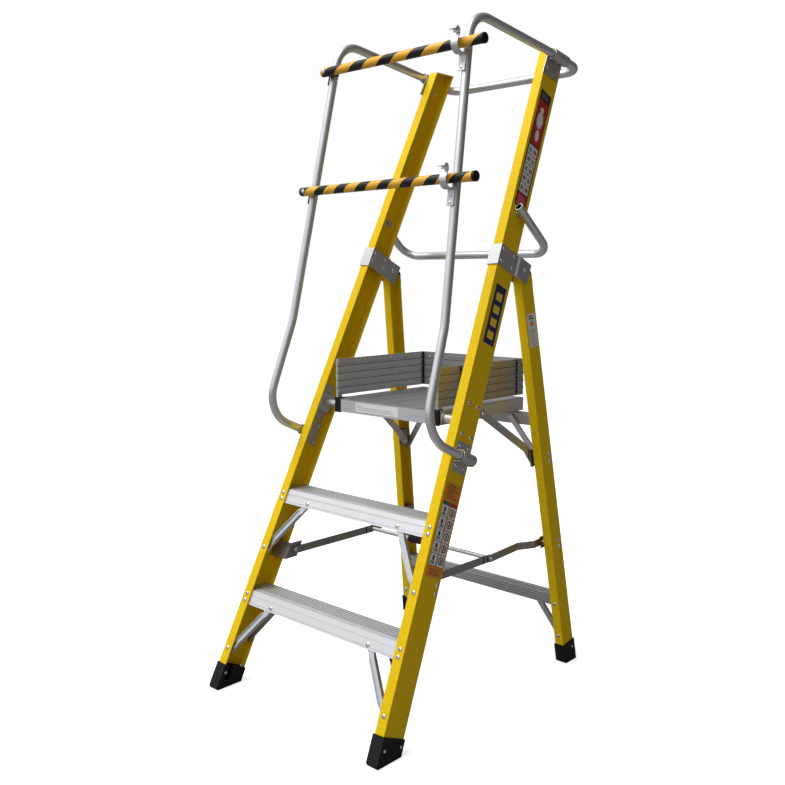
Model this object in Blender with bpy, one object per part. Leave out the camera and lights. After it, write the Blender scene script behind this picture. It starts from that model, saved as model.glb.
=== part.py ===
"""Platform step ladder: two treads, a folding guarded platform and glass-fibre stiles.

Metres, +Z up, +X to the right of a person climbing, +Y to the rear.
Pieces are laid out from a point midway between the feet of the front stiles.
One empty, "ladder", then brings the origin to the floor under the middle of the ladder.
"""
import math

import bmesh
import bpy
from mathutils import Matrix, Vector

# ---------------------------------------------------------------- driving dimensions

STEP_PITCH = 0.250
MIDDLE_Y = 0.4425               # middle of the ladder, behind the front stiles' feet
FLOOR_Z = -0.004                # the boots' soles
GAP = 0.0004                    # clearance left between touching pieces

# Front frame: channel stiles that lean back and draw together towards the top.
FRONT_LEAN = 0.4607             # rearward run for each metre of height
FRONT_TAPER = 0.0583            # inward run for each metre of height
FRONT_HALF_SPREAD = 0.281       # stile centre line at the floor
FRONT_FOOT_Y = 0.0040           # front face of the front stiles at the floor
FRONT_WIDTH = 0.0275
FRONT_DEPTH = 0.0752            # measured level, 68 mm square to the stile
FRONT_WEB = 0.0040
FRONT_TOP = 1.620

# Rear frame: lighter channels, leaning forward to the hinge.
REAR_LEAN = -0.1527
REAR_TAPER = 0.0555
REAR_HALF_SPREAD = 0.2823
REAR_FOOT_Y = 0.7492            # front face of the rear stiles at the floor
REAR_WIDTH = 0.0255
REAR_DEPTH = 0.0486
REAR_WEB = 0.0035

REAR_BAR_TOP = 0.188
CROSSBAR_TOP = 0.685            # the platform's rear edge rests on it

STILE_BOTTOM = 0.0065           # stiles stand on the soles of their boots
BOOT_WALL = 0.0028
BOOT_SOLE = 0.0100

# Treads
TREAD_TOP = 0.2345              # lower tread; the upper one is a pitch higher
TREAD_HEIGHT = 0.034
SHEET = 0.0024

# Hinge between the frames
HINGE_Y = 0.603
HINGE_Z = 1.058
HINGE_PIN_RADIUS = 0.004
BRACKET_LOW = 1.182             # along the stile from its foot
BRACKET_HIGH = 1.235
OUTER_CHEEK = 0.0200            # middle of each cheek beside the rear stile
INNER_CHEEK = -0.0110

# Platform
PLATFORM_TOP = 0.7225
PLATFORM_FRONT = 0.344
PLATFORM_REAR = 0.6985
PLATFORM_HALF_WIDTH = 0.1768
PLATFORM_HEIGHT = 0.035
PIVOT_ALONG = 0.7896            # platform pivot, along the front stile
PIVOT_DEEP = 0.0314             # and behind its front face
PIVOT_TUBE_RADIUS = 0.0104            # handrails and mid rail
GUARD_RADIUS = 0.0112           # rear guard rail
TUBE_WALL = 0.0016
OPEN_END_DEPTH = 0.030
TOE_BOTTOM = 0.7300
TOE_TOP = 0.8260
TOE_THICK = 0.0022
TOE_RIB = 0.0012

# Rails
TUBE_RADIUS = 0.011
TUBE_OFFSET = 0.01645           # tube centre outside the stile's web
BAR_RADIUS = 0.0114
GATE_GAP = 0.0050               # between a gate bar and the handrails
UPPER_BAR_Z = 1.566
LOWER_BAR_Z = 1.260
HOOK_WIDTH = 0.020

# Spreader and platform struts
LINK_WIDTH = 0.020
LINK_THICK = 0.003
TAB_REACH = 0.0046              # from a link's middle to the middle of its bracket's tab
FRONT_LINK_X = 0.2075
REAR_LINK_X = 0.2112
REAR_LINK_END_X = 0.2365
SPREADER_ARCH = -0.006          # the middle joint locks a little below the straight line
STRUT_TOP_X = 0.1915
STRUT_END_X = 0.2275
STRUT_END = Vector((0.0, 0.674, 0.5575))
STRUT_KNEE = (0.639, 0.598)
STRUT_TOP_Z = 0.700
STRUT_WIDTH = 0.0210

SIDES = {"left": -1, "right": 1}
FOLD = math.atan(FRONT_LEAN) - math.atan(REAR_LEAN)     # rear frame, open to folded
PLATFORM_FOLD = math.pi / 2 - math.atan(FRONT_LEAN)


# ---------------------------------------------------------------- places on the frames

def front_x(z):
    return FRONT_HALF_SPREAD - FRONT_TAPER * z


def rear_x(z):
    return REAR_HALF_SPREAD - REAR_TAPER * z


def front_y(z):
    """Front face of the front stiles at a height."""
    return FRONT_FOOT_Y + FRONT_LEAN * z


def rear_y(z):
    return REAR_FOOT_Y + REAR_LEAN * z


def front_point(side, u, v, z):
    """A place on a front stile: u outward from its centre, v behind its front face."""
    return Vector((side * (front_x(z) + u), front_y(z) + v, z))


def rear_point(side, u, v, z):
    return Vector((side * (rear_x(z) + u), rear_y(z) + v, z))


def in_front_plane(along, deep):
    """A place on the ladder's middle plane, along the front frame's lean and behind its face."""
    lean = math.atan(FRONT_LEAN)
    y = along * math.sin(lean) + deep * math.cos(lean)
    z = along * math.cos(lean) - deep * math.sin(lean)
    return Vector((0.0, FRONT_FOOT_Y + y, z))


def front_foot(side):
    """Where a front stile's centre line, in its front face, meets the floor."""
    return Vector((side * FRONT_HALF_SPREAD, FRONT_FOOT_Y, 0.0))


def front_axes(side):
    """Outward, rearward and upward axes that follow a front stile's web."""
    up = Vector((-side * FRONT_TAPER, FRONT_LEAN, 1.0)).normalized()
    out = Vector((side, 0.0, FRONT_TAPER)).normalized()
    rear = up.cross(out) * side
    return out, rear.normalized(), up


def turned_about_x(point, centre, angle):
    return centre + Matrix.Rotation(angle, 3, "X") @ (point - centre)


# ---------------------------------------------------------------- linkage

HINGE = Vector((0.0, HINGE_Y, HINGE_Z))
PIVOT = in_front_plane(PIVOT_ALONG, PIVOT_DEEP)
SPREADER_FRONT = in_front_plane(0.3906, 0.0624)
SPREADER_REAR = Vector((0.0, rear_y(0.335) + 0.0105, 0.335))


def strut_top():
    """Place of a strut's upper pin that suits one strut length, open and folded."""
    open_end = STRUT_END - PIVOT
    folded_end = turned_about_x(STRUT_END, HINGE, -FOLD) - PIVOT
    as_open = Matrix.Rotation(-PLATFORM_FOLD, 3, "X") @ folded_end
    change = as_open - open_end
    wanted = (folded_end.length_squared - open_end.length_squared) / 2
    rise = STRUT_TOP_Z - PIVOT.z
    return PIVOT + Vector((0.0, (wanted - change.z * rise) / change.y, rise))


def spreader_joint():
    """Middle joint of the spreader; its links lie in one line when the ladder is folded."""
    folded_rear = turned_about_x(SPREADER_REAR, HINGE, -FOLD)
    difference = (folded_rear - SPREADER_FRONT).length
    span = (SPREADER_REAR - SPREADER_FRONT).length
    stretch = math.sqrt(1 + 4 * SPREADER_ARCH ** 2 / (span ** 2 - difference ** 2))
    run = span / 2 + difference / 2 * stretch
    forward = (SPREADER_REAR - SPREADER_FRONT).normalized()
    upward = Vector((0.0, -forward.z, forward.y))
    return SPREADER_FRONT + forward * run + upward * SPREADER_ARCH


def bearing(vector):
    return math.atan2(vector.z, vector.y)


def fold_motion():
    """Angles in radians that each joint turns through while the ladder folds."""
    joint = spreader_joint()
    folded_rear = turned_about_x(SPREADER_REAR, HINGE, -FOLD)
    folded_line = bearing(folded_rear - SPREADER_FRONT)
    front_link = folded_line - bearing(joint - SPREADER_FRONT)
    rear_link = folded_line - bearing(joint - SPREADER_REAR) + FOLD
    folded_top = turned_about_x(strut_top(), PIVOT, PLATFORM_FOLD)
    folded_end = turned_about_x(STRUT_END, HINGE, -FOLD)
    strut = bearing(folded_top - folded_end) - bearing(strut_top() - STRUT_END) + FOLD
    return {"hinge": FOLD, "platform": PLATFORM_FOLD, "strut": strut,
            "front_link": front_link, "rear_link": rear_link}


STRUT_TOP = strut_top()
SPREADER_JOINT = spreader_joint()


# ---------------------------------------------------------------- modelling helpers

def clear_scene():
    for obj in list(bpy.data.objects):
        bpy.data.objects.remove(obj, do_unlink=True)


def material(name, colour, roughness, metallic=0.0):
    made = bpy.data.materials.get(name)
    if made is None:
        made = bpy.data.materials.new(name)
        made.use_nodes = True
        shader = made.node_tree.nodes["Principled BSDF"]
        shader.inputs["Base Color"].default_value = (*colour, 1.0)
        shader.inputs["Roughness"].default_value = roughness
        shader.inputs["Metallic"].default_value = metallic
    return made


def fibreglass():
    return material("yellow_fibreglass", (0.83, 0.60, 0.03), 0.5)


def aluminium():
    return material("mill_aluminium", (0.72, 0.73, 0.75), 0.38, 1.0)


def tube_metal():
    return material("satin_tube", (0.66, 0.67, 0.70), 0.32, 1.0)


def zinc():
    return material("zinc_steel", (0.55, 0.55, 0.56), 0.42, 1.0)


def link_steel():
    return material("grey_link_steel", (0.34, 0.32, 0.30), 0.5, 1.0)


def rubber():
    return material("black_rubber", (0.02, 0.02, 0.022), 0.6)


def tape():
    return material("hazard_tape", (0.85, 0.52, 0.06), 0.45)


def pivot_empty(name, place):
    """An empty on a joint's axis."""
    empty = bpy.data.objects.new(name, None)
    bpy.context.scene.collection.objects.link(empty)
    empty.location = place
    return empty


def carry(carrier, pivot):
    """Parent one joint's empty to another's, without moving it."""
    pivot.location -= carrier.location if carrier.parent else Vector()
    pivot.parent = carrier


def attach(obj, pivot):
    """Parent a piece that is modelled in place to the empty on its joint's axis."""
    obj.parent = pivot or bpy.data.objects["ladder"]
    step = obj.parent
    while step.parent is not None:
        obj.location -= step.location
        step = step.parent


def add_mesh(name, bm, finish, pivot=None, smooth=False):
    bmesh.ops.recalc_face_normals(bm, faces=bm.faces)
    mesh = bpy.data.meshes.new(name)
    bm.to_mesh(mesh)
    bm.free()
    if smooth:
        mesh.shade_smooth()
        mesh.set_sharp_from_angle(angle=math.radians(35))
    obj = bpy.data.objects.new(name, mesh)
    bpy.context.scene.collection.objects.link(obj)
    mesh.materials.append(finish)
    attach(obj, pivot)
    return obj


def lofted(rings, closed=False):
    """A solid through matching rings, capped unless the rings close on themselves."""
    bm = bmesh.new()
    rows = [[bm.verts.new(point) for point in ring] for ring in rings]
    count = len(rows[0])
    pairs = list(zip(rows, rows[1:]))
    if closed:
        pairs.append((rows[-1], rows[0]))
    for low, high in pairs:
        for i in range(count):
            j = (i + 1) % count
            bm.faces.new((low[i], low[j], high[j], high[i]))
    if not closed:
        bm.faces.new(rows[0])
        bm.faces.new(rows[-1])
    return bm


def strip_outline(path, thickness):
    """Closed outline of a bent strip whose middle follows a path of (u, v) points."""
    points = [Vector(point) for point in path]
    left = []
    right = []
    for i, point in enumerate(points):
        before = points[max(i - 1, 0)]
        after = points[min(i + 1, len(points) - 1)]
        into = (point - before).normalized() if i else (after - point).normalized()
        out = (after - point).normalized() if i < len(points) - 1 else into
        tangent = (into + out).normalized()
        reach = thickness / 2 / max(tangent.dot(out), 0.5)
        normal = Vector((-tangent.y, tangent.x)) * reach
        left.append(point + normal)
        right.append(point - normal)
    return left + right[::-1]


def extruded(outline, origin, u_axis, v_axis, along):
    ring = [origin + u_axis * u + v_axis * v for u, v in outline]
    return lofted([ring, [point + along for point in ring]])


def stile_prism(place, side, outline, low, high):
    """Extrude a level (u, v) outline along a stile between two heights."""
    return lofted([[place(side, u, v, z) for u, v in outline] for z in (low, high)])


def channel_outline(width, depth, web, flange, grow=0.0):
    """C section with its web outward; grow swells it on every side."""
    half = width / 2
    return [(-half - grow, -grow), (half + grow, -grow),
            (half + grow, depth + grow), (-half - grow, depth + grow),
            (-half - grow, depth - flange - grow), (half - web - grow, depth - flange - grow),
            (half - web - grow, flange + grow), (-half - grow, flange + grow)]


def arc(centre, radius, start, end, steps):
    angles = [start + (end - start) * i / steps for i in range(steps + 1)]
    return [(centre[0] + radius * math.cos(math.radians(angle)),
             centre[1] + radius * math.sin(math.radians(angle))) for angle in angles]


def rounded_path(corners, radii, steps=7):
    """Points of a path whose inner corners are bent to the given radii."""
    points = [corners[0]]
    for before, corner, after, radius in zip(corners, corners[1:], corners[2:], radii):
        into = (corner - before).normalized()
        out = (after - corner).normalized()
        turn = into.angle(out)
        start = corner - into * radius * math.tan(turn / 2)
        inward = (out - into * into.dot(out)).normalized()
        centre = start + inward * radius
        for i in range(steps + 1):
            angle = turn * i / steps
            points.append(centre - inward * radius * math.cos(angle)
                          + into * radius * math.sin(angle))
    points.append(corners[-1])
    return points


def tube_rings(points, radii, sides=16):
    """Rings round a path, square to it and without twist."""
    rings = []
    across = (points[1] - points[0]).orthogonal()
    for i, (point, radius) in enumerate(zip(points, radii)):
        into = (point - points[max(i - 1, 0)]).normalized()
        out = (points[min(i + 1, len(points) - 1)] - point).normalized()
        run = (into + out).normalized()
        across = (across - run * across.dot(run)).normalized()
        other = run.cross(across)
        ring = []
        for step in range(sides):
            angle = 2 * math.pi * step / sides
            ring.append(point + (across * math.cos(angle) + other * math.sin(angle)) * radius)
        rings.append(ring)
    return rings


def add_tube(name, points, radius, finish, open_start=False, open_end=False):
    """A bent round tube; an open end is hollow for a short way in."""
    rings = tube_rings(points, [radius] * len(points))
    for is_open, end, after in ((open_start, 0, 1), (open_end, -1, -2)):
        if is_open:
            inward = (points[after] - points[end]).normalized() * OPEN_END_DEPTH
            share = (radius - TUBE_WALL) / radius
            mouth = [points[end] + (point - points[end]) * share for point in rings[end]]
            floor = [point + inward for point in mouth]
            rings = [floor, mouth] + rings if end == 0 else rings + [mouth, floor]
    return add_mesh(name, lofted(rings), finish, smooth=True)


def turned_rings(origin, axis, profile, sides=16):
    """Rings of a turned piece; the profile holds (distance along the axis, radius)."""
    axis = axis.normalized()
    across = axis.orthogonal().normalized()
    other = axis.cross(across)
    rings = []
    for distance, radius in profile:
        ring = []
        for i in range(sides):
            angle = 2 * math.pi * i / sides
            spoke = across * math.cos(angle) + other * math.sin(angle)
            ring.append(origin + axis * distance + spoke * radius)
        rings.append(ring)
    return rings


def add_cutter(name, bm, pivot=None):
    cutter = add_mesh(name, bm, rubber(), pivot)
    cutter.hide_render = True
    cutter.display_type = "WIRE"
    return cutter


def cut(obj, cutter, operation="DIFFERENCE"):
    step = obj.modifiers.new(cutter.name, "BOOLEAN")
    step.operation = operation
    step.solver = "EXACT"
    step.object = cutter


def ribbon(points, width, thick, facing=Vector((1.0, 0.0, 0.0)), round_steps=3):
    """A flat bar with rounded ends through points, its thickness along facing."""
    half = width / 2
    start_run = (points[1] - points[0]).normalized()
    end_run = (points[-1] - points[-2]).normalized()
    stations = []
    for i in range(round_steps, 0, -1):
        angle = math.radians(80) * i / round_steps
        stations.append((points[0] - start_run * half * math.sin(angle), half * math.cos(angle)))
    stations += [(point, half) for point in points]
    for i in range(1, round_steps + 1):
        angle = math.radians(80) * i / round_steps
        stations.append((points[-1] + end_run * half * math.sin(angle), half * math.cos(angle)))
    rings = []
    places = [station[0] for station in stations]
    for i, (place, reach) in enumerate(stations):
        run = (places[min(i + 1, len(places) - 1)] - places[max(i - 1, 0)]).normalized()
        side = facing.cross(run).normalized() * reach
        face = facing * thick / 2
        rings.append([place + side + face, place + side - face,
                      place - side - face, place - side + face])
    return lofted(rings)


# ---------------------------------------------------------------- front frame

def add_stiles(rear_pivot):
    flange = FRONT_WEB * 1.1
    for word, side in SIDES.items():
        outline = channel_outline(FRONT_WIDTH, FRONT_DEPTH, FRONT_WEB, flange)
        bm = stile_prism(front_point, side, outline, STILE_BOTTOM, FRONT_TOP)
        add_mesh("front_stile_" + word, bm, fibreglass())
        outline = channel_outline(REAR_WIDTH, REAR_DEPTH, REAR_WEB, REAR_WEB)
        bm = stile_prism(rear_point, side, outline, STILE_BOTTOM, HINGE_Z + 0.014)
        stile = add_mesh("rear_stile_" + word, bm, fibreglass(), rear_pivot)
        cut(stile, hinge_bore(word, side, "stile", rear_pivot))
        corner = [Vector((0.613, HINGE_Z + 0.0155)), Vector((0.660, HINGE_Z + 0.0155)),
                  Vector((0.660, HINGE_Z - 0.0400))]
        bm = extruded(corner, Vector((side * 0.19, 0.0, 0.0)), Vector((0.0, 1.0, 0.0)),
                      Vector((0.0, 0.0, 1.0)), Vector((side * 0.07, 0.0, 0.0)))
        cut(stile, add_cutter("rear_stile_top_cut_" + word, bm, rear_pivot))


def hinge_bore(word, side, owner, pivot=None):
    start = Vector((side * 0.19, HINGE_Y, HINGE_Z))
    rings = turned_rings(start, Vector((side, 0.0, 0.0)),
                         [(0.0, HINGE_PIN_RADIUS + 0.0003), (0.07, HINGE_PIN_RADIUS + 0.0003)])
    return add_cutter("hinge_bore_" + owner + "_" + word, lofted(rings), pivot)


def boot_rings(place, side, width, depth, up, height, toe):
    """Outer faces of a boot: level sole with a chamfered toe, top square to the stile."""
    half = width / 2 + BOOT_WALL
    outline = [(-half, -BOOT_WALL), (half, -BOOT_WALL),
               (half, depth + BOOT_WALL), (-half, depth + BOOT_WALL)]
    sole = [place(side, u, max(v, toe - BOOT_WALL), FLOOR_Z) for u, v in outline]
    edge = [place(side, u, v, FLOOR_Z + toe) for u, v in outline]
    top_middle = place(side, 0.0, 0.0, 0.0) + up * height
    return [sole, edge, [point + up * (top_middle - point).dot(up) for point in edge]]


def add_boots(rear_pivot):
    front_up = {side: front_axes(side)[2] for side in SIDES.values()}
    rear_up = {side: Vector((-side * REAR_TAPER, REAR_LEAN, 1.0)).normalized()
               for side in SIDES.values()}
    kinds = (("front", front_point, front_up, FRONT_WIDTH, FRONT_DEPTH, FRONT_WEB, 0.0645, None),
             ("rear", rear_point, rear_up, REAR_WIDTH, REAR_DEPTH, REAR_WEB, 0.048, rear_pivot))
    for kind, place, ups, width, depth, web, height, pivot in kinds:
        flange = web * 1.1 if kind == "front" else web
        toe = 0.006 if kind == "front" else 0.003
        for word, side in SIDES.items():
            rings = boot_rings(place, side, width, depth, ups[side], height, toe)
            boot = add_mesh(kind + "_foot_" + word, lofted(rings), rubber(), pivot)
            groove = channel_outline(width, depth, web, flange, grow=GAP)
            bm = stile_prism(place, side, groove, FLOOR_Z + BOOT_SOLE, 0.2)
            cut(boot, add_cutter(kind + "_foot_groove_" + word, bm, pivot))
            slot = [(-width, depth * 0.20), (width / 2 - web - 0.001, depth * 0.20),
                    (width / 2 - web - 0.001, depth * 0.42), (-width, depth * 0.42)]
            bm = stile_prism(place, side, slot, 0.016, 0.2)
            cut(boot, add_cutter(kind + "_foot_slot_" + word, bm, pivot))


def grooved_line(start, end, count, width, depth, down=Vector((0.0, -1.0))):
    """Points of a straight (y, z) line cut by evenly spaced square grooves."""
    run = end - start
    along = run.normalized()
    points = [start]
    for i in range(count):
        middle = start + run * (i + 0.5) / count
        near = middle - along * width / 2
        far = middle + along * width / 2
        points += [near, near + down * depth, far + down * depth, far]
    return points + [end]


def hollow_section(front_y, rear_y, top, height, lean, grooves, wall=SHEET):
    """(y, z) outline of a grooved top with a leaning skirt front and rear, open below."""
    low = top - height
    shift = lean * (height - wall)
    outline = grooved_line(Vector((front_y, top)), Vector((rear_y, top)), grooves, 0.0022, 0.0010)
    outline += [Vector((rear_y - lean * height, low)),
                Vector((rear_y - wall - lean * height, low)),
                Vector((rear_y - wall - lean * wall, top - wall)),
                Vector((front_y + wall - lean * wall, top - wall)),
                Vector((front_y + wall - lean * wall - shift, low)),
                Vector((front_y - lean * height, low))]
    return outline


def crosswise(outline, half_length):
    """Extrude a (y, z) outline along X from side to side."""
    return extruded(outline, Vector((-half_length, 0.0, 0.0)), Vector((0.0, 1.0, 0.0)),
                    Vector((0.0, 0.0, 1.0)), Vector((2 * half_length, 0.0, 0.0)))


def add_treads():
    flange = FRONT_WEB * 1.1 + 0.0005
    for word, top in (("lower", TREAD_TOP), ("upper", TREAD_TOP + STEP_PITCH)):
        front = front_y(top) + flange
        rear = front_y(top) + FRONT_DEPTH - flange
        outline = hollow_section(front, rear, top, TREAD_HEIGHT, FRONT_LEAN, 8)
        half_length = front_x(top) + FRONT_WIDTH / 2 - FRONT_WEB - 0.0006
        add_mesh("tread_" + word, crosswise(outline, half_length), aluminium())


def channel_brace(low, high, rear, width=0.018, flange=0.0075, wall=0.0016):
    """A small U channel from one rivet to another, its flanges pointing to the rear."""
    run = (high - low).normalized()
    across = run.cross(rear).normalized()
    half = width / 2
    path = [(-half + wall / 2, flange), (-half + wall / 2, wall / 2),
            (half - wall / 2, wall / 2), (half - wall / 2, flange)]
    outline = strip_outline(path, wall)
    start = low - run * 0.007
    return extruded(outline, start, across, rear, high - low + run * 0.014)


def add_tread_braces():
    lean = math.atan(FRONT_LEAN)
    rear = Vector((0.0, math.cos(lean), -math.sin(lean)))
    for word, side in SIDES.items():
        for level, top in (("lower", TREAD_TOP), ("upper", TREAD_TOP + STEP_PITCH)):
            high_z = top - 0.026
            low_z = top - 0.143
            low = front_point(side, -0.004, 0.0, low_z) + rear * 0.0073
            high = front_point(side, -0.092, 0.0, high_z) + rear * 0.0073
            bm = channel_brace(low, high, rear, 0.016)
            add_mesh("tread_brace_" + level + "_" + word, bm, aluminium())


def add_hinge_brackets():
    cheek = FRONT_WIDTH / 2 + GAP + 0.0014
    path = [(OUTER_CHEEK, 0.1235), (OUTER_CHEEK, 0.0760), (cheek, 0.0715), (cheek, -0.0020),
            (-cheek, -0.0020), (-cheek, 0.0715), (INNER_CHEEK, 0.0760), (INNER_CHEEK, 0.1235)]
    outline = strip_outline(path, 0.0028)
    for word, side in SIDES.items():
        out, rear, up = front_axes(side)
        bm = extruded(outline, front_foot(side) + up * BRACKET_LOW, out, rear,
                      up * (BRACKET_HIGH - BRACKET_LOW))
        bracket = add_mesh("hinge_bracket_" + word, bm, zinc())
        cut(bracket, hinge_bore(word, side, "bracket"))
        clear = 0.0020
        inner = INNER_CHEEK - clear
        shank = OUTER_CHEEK + clear - inner
        profile = [(-0.0025, 0.004), (-0.0013, 0.0065), (0.0, 0.0072), (0.0, HINGE_PIN_RADIUS),
                   (shank, HINGE_PIN_RADIUS), (shank, 0.0072), (shank + 0.0015, 0.0062),
                   (shank + 0.0028, 0.004)]
        start = Vector((side * (front_x(HINGE_Z) + inner), HINGE_Y, HINGE_Z))
        pin = turned_rings(start, Vector((side, 0.0, 0.0)), profile)
        add_mesh("hinge_pin_" + word, lofted(pin), zinc(), smooth=True)


# ---------------------------------------------------------------- rails

def rail_x(z):
    return front_x(z) + FRONT_WIDTH / 2 + TUBE_OFFSET


def handrail_y(z):
    """Centre of a handrail's long straight at a height."""
    return 0.279 + 0.193 * (z - 0.985)


RAIL_JOINT_Y = 0.742            # handrail and rear rail meet inside the top bracket
REAR_RAIL_FALL = 0.176


def top_rail_z(y):
    """Height of the upper rails, which fall to the rear, more steeply behind their joint."""
    level = 1.629 - 0.12 * (min(y, RAIL_JOINT_Y) - 0.57)
    return level - REAR_RAIL_FALL * max(y - RAIL_JOINT_Y, 0.0)


HANDRAIL_VIEW = [(0.350, 0.613), (0.1825, 0.6885), (0.2684, 0.930), (0.4075, 1.648),
                 (RAIL_JOINT_Y, top_rail_z(RAIL_JOINT_Y))]


def add_handrails():
    for word, side in SIDES.items():
        corners = [Vector((side * rail_x(z), y, z)) for y, z in HANDRAIL_VIEW]
        points = rounded_path(corners, (0.088, 0.20, 0.070))
        add_tube("handrail_" + word, points, TUBE_RADIUS, tube_metal(), open_start=True)


def add_rear_rails():
    start = RAIL_JOINT_Y + 0.0012   # the ends are square to rails that meet at a slight angle
    rear = 0.872
    corners = []
    for side in (1, -1):
        pair = [Vector((side * rail_x(top_rail_z(y)), y, top_rail_z(y))) for y in (start, rear)]
        corners += pair if side == 1 else pair[::-1]
    add_tube("rear_guard_rail", rounded_path(corners, (0.040, 0.040), 9),
             GUARD_RADIUS, tube_metal())
    corners = []
    for side, tip in ((1, 0.572), (-1, 0.588)):     # the left end stops just past its bolt
        tip_z = 1.2123 - 0.84 * (tip - 0.572)
        pair = [Vector((side * rail_x(z), y, z)) for y, z in ((tip, tip_z), (0.705, 1.1005))]
        corners += pair if side == 1 else pair[::-1]
    points = rounded_path(corners, (0.045, 0.045), 9)
    add_tube("mid_rail", points, TUBE_RADIUS, tube_metal(), open_start=True, open_end=True)


def add_top_brackets():
    """Plate on the stile's web that curls round the rail."""
    wall = 0.0024
    half_length = 0.033
    curl = GUARD_RADIUS + 0.0007 + wall / 2
    outline = strip_outline([(-curl, -0.053)] + arc((0.0, 0.0), curl, 180, -120, 14), wall)
    middle_y = 0.773
    z = top_rail_z(middle_y)
    skew = 0.43                     # the plate follows the stile's lean below the curl
    for word, side in SIDES.items():
        out, _, _ = front_axes(side)
        run = Vector((0.0, 1.0, -REAR_RAIL_FALL))
        run = (run - out * run.dot(out)).normalized()
        rise = out.cross(run) * side
        middle = Vector((side * rail_x(z), middle_y, z))
        ring = [middle + out * u + rise * w + run * skew * min(w + curl, 0.0) for u, w in outline]
        ends = [[point + run * shift for point in ring] for shift in (-half_length, half_length)]
        add_mesh("rail_top_bracket_" + word, lofted(ends), zinc())


def add_handrail_clamps():
    """Saddle strap that holds the handrail's lower end to the web."""
    wall = 0.0020
    base = GAP + wall / 2 - TUBE_OFFSET
    bend = TUBE_RADIUS + 0.0012 + wall / 2
    path = [(base, -0.036), (base, -bend)] + arc((0.0, 0.0), bend, -90, 90, 10)
    path += [(base, bend), (base, 0.036)]
    outline = strip_outline(path, wall)
    y, z = HANDRAIL_VIEW[0]
    for word, side in SIDES.items():
        out, rear, up = front_axes(side)
        end = Vector((side * rail_x(z), y, z))
        bm = extruded(outline, end - rear * 0.048, out, up, rear * 0.050)
        add_mesh("handrail_clamp_" + word, bm, zinc())


def hook_outline(bar_y, bar_z):
    """(y, z) outline of the strap that carries a gate bar on the handrail."""
    seat = (bar_y - 0.0040, bar_z - 0.0035)
    plate = [(handrail_y(z) - TUBE_RADIUS - 0.0024, z) for z in (bar_z - 0.060, bar_z - 0.030)]
    bowl = arc(seat, 0.0195, -60, -200, 9)
    tail = [(bar_y - 0.0150, bar_z + 0.019), (bar_y - 0.0162, bar_z + 0.028),
            (bar_y - 0.0235, bar_z + 0.0320), (bar_y - 0.0300, bar_z + 0.0250)]
    return strip_outline(plate + bowl + tail, 0.0028)


def add_gates(pivots):
    limits = {"upper": (UPPER_BAR_Z, 0.0170, 0.0700), "lower": (LOWER_BAR_Z, 0.0205, 0.0770)}
    for word, (bar_z, past_pin, past_hook) in limits.items():
        bar_y = gate_y(bar_z)
        half = rail_x(bar_z)
        profile = [(0.0, BAR_RADIUS - 0.003), (0.003, BAR_RADIUS), (2 * half + past_pin + past_hook
                   - 0.002, BAR_RADIUS), (2 * half + past_pin + past_hook, BAR_RADIUS - 0.002)]
        start = Vector((-half - past_pin, bar_y, bar_z))
        rings = turned_rings(start, Vector((1.0, 0.0, 0.0)), profile)
        pivot = pivots[word]
        bar = add_mesh("gate_bar_" + word, lofted(rings), tape(), pivot, smooth=True)
        hole = turned_rings(Vector((-half, bar_y - 0.03, bar_z)), Vector((0.0, 1.0, 0.0)),
                            [(0.0, 0.0034), (0.06, 0.0034)], 12)
        cut(bar, add_cutter("gate_bore_" + word, lofted(hole), pivot))
        pin = turned_rings(Vector((-half, bar_y - 0.0160, bar_z)), Vector((0.0, 1.0, 0.0)),
                           [(0.0, 0.003), (0.0012, 0.0055), (0.0034, 0.0062), (0.0034, 0.003),
                            (0.0315, 0.003)], 12)
        add_mesh("gate_pin_" + word, lofted(pin), zinc(), smooth=True)
        hook = extruded(hook_outline(bar_y, bar_z), Vector((half - HOOK_WIDTH / 2, 0.0, 0.0)),
                        Vector((0.0, 1.0, 0.0)), Vector((0.0, 0.0, 1.0)),
                        Vector((HOOK_WIDTH, 0.0, 0.0)))
        add_mesh("gate_hook_" + word, hook, zinc())


def gate_y(bar_z):
    """Gate bars lie just in front of the handrails."""
    return handrail_y(bar_z) - TUBE_RADIUS - BAR_RADIUS - GATE_GAP


# ---------------------------------------------------------------- brackets and rear frame

def add_platform_brackets():
    """Pressed hat inside each front stile that carries the platform's pivot tube."""
    base = FRONT_WIDTH / 2 - FRONT_WEB - GAP - 0.0015
    raised = base - 0.0120
    path = [(base, -0.050), (base, -0.028), (raised, -0.024),
            (raised, 0.024), (base, 0.028), (base, 0.050)]
    outline = strip_outline(path, 0.003)
    for word, side in SIDES.items():
        out, rear, up = front_axes(side)
        middle = Vector((side * front_x(PIVOT.z), PIVOT.y, PIVOT.z))
        bm = extruded(outline, middle - rear * 0.023, out, up, rear * 0.046)
        bracket = add_mesh("platform_bracket_" + word, bm, zinc())
        bore = turned_rings(Vector((side * 0.20, PIVOT.y, PIVOT.z)), Vector((side, 0.0, 0.0)),
                            [(0.0, PIVOT_TUBE_RADIUS + 0.0005), (0.1, PIVOT_TUBE_RADIUS + 0.0005)])
        cut(bracket, add_cutter("pivot_bore_" + word, lofted(bore)))


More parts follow.
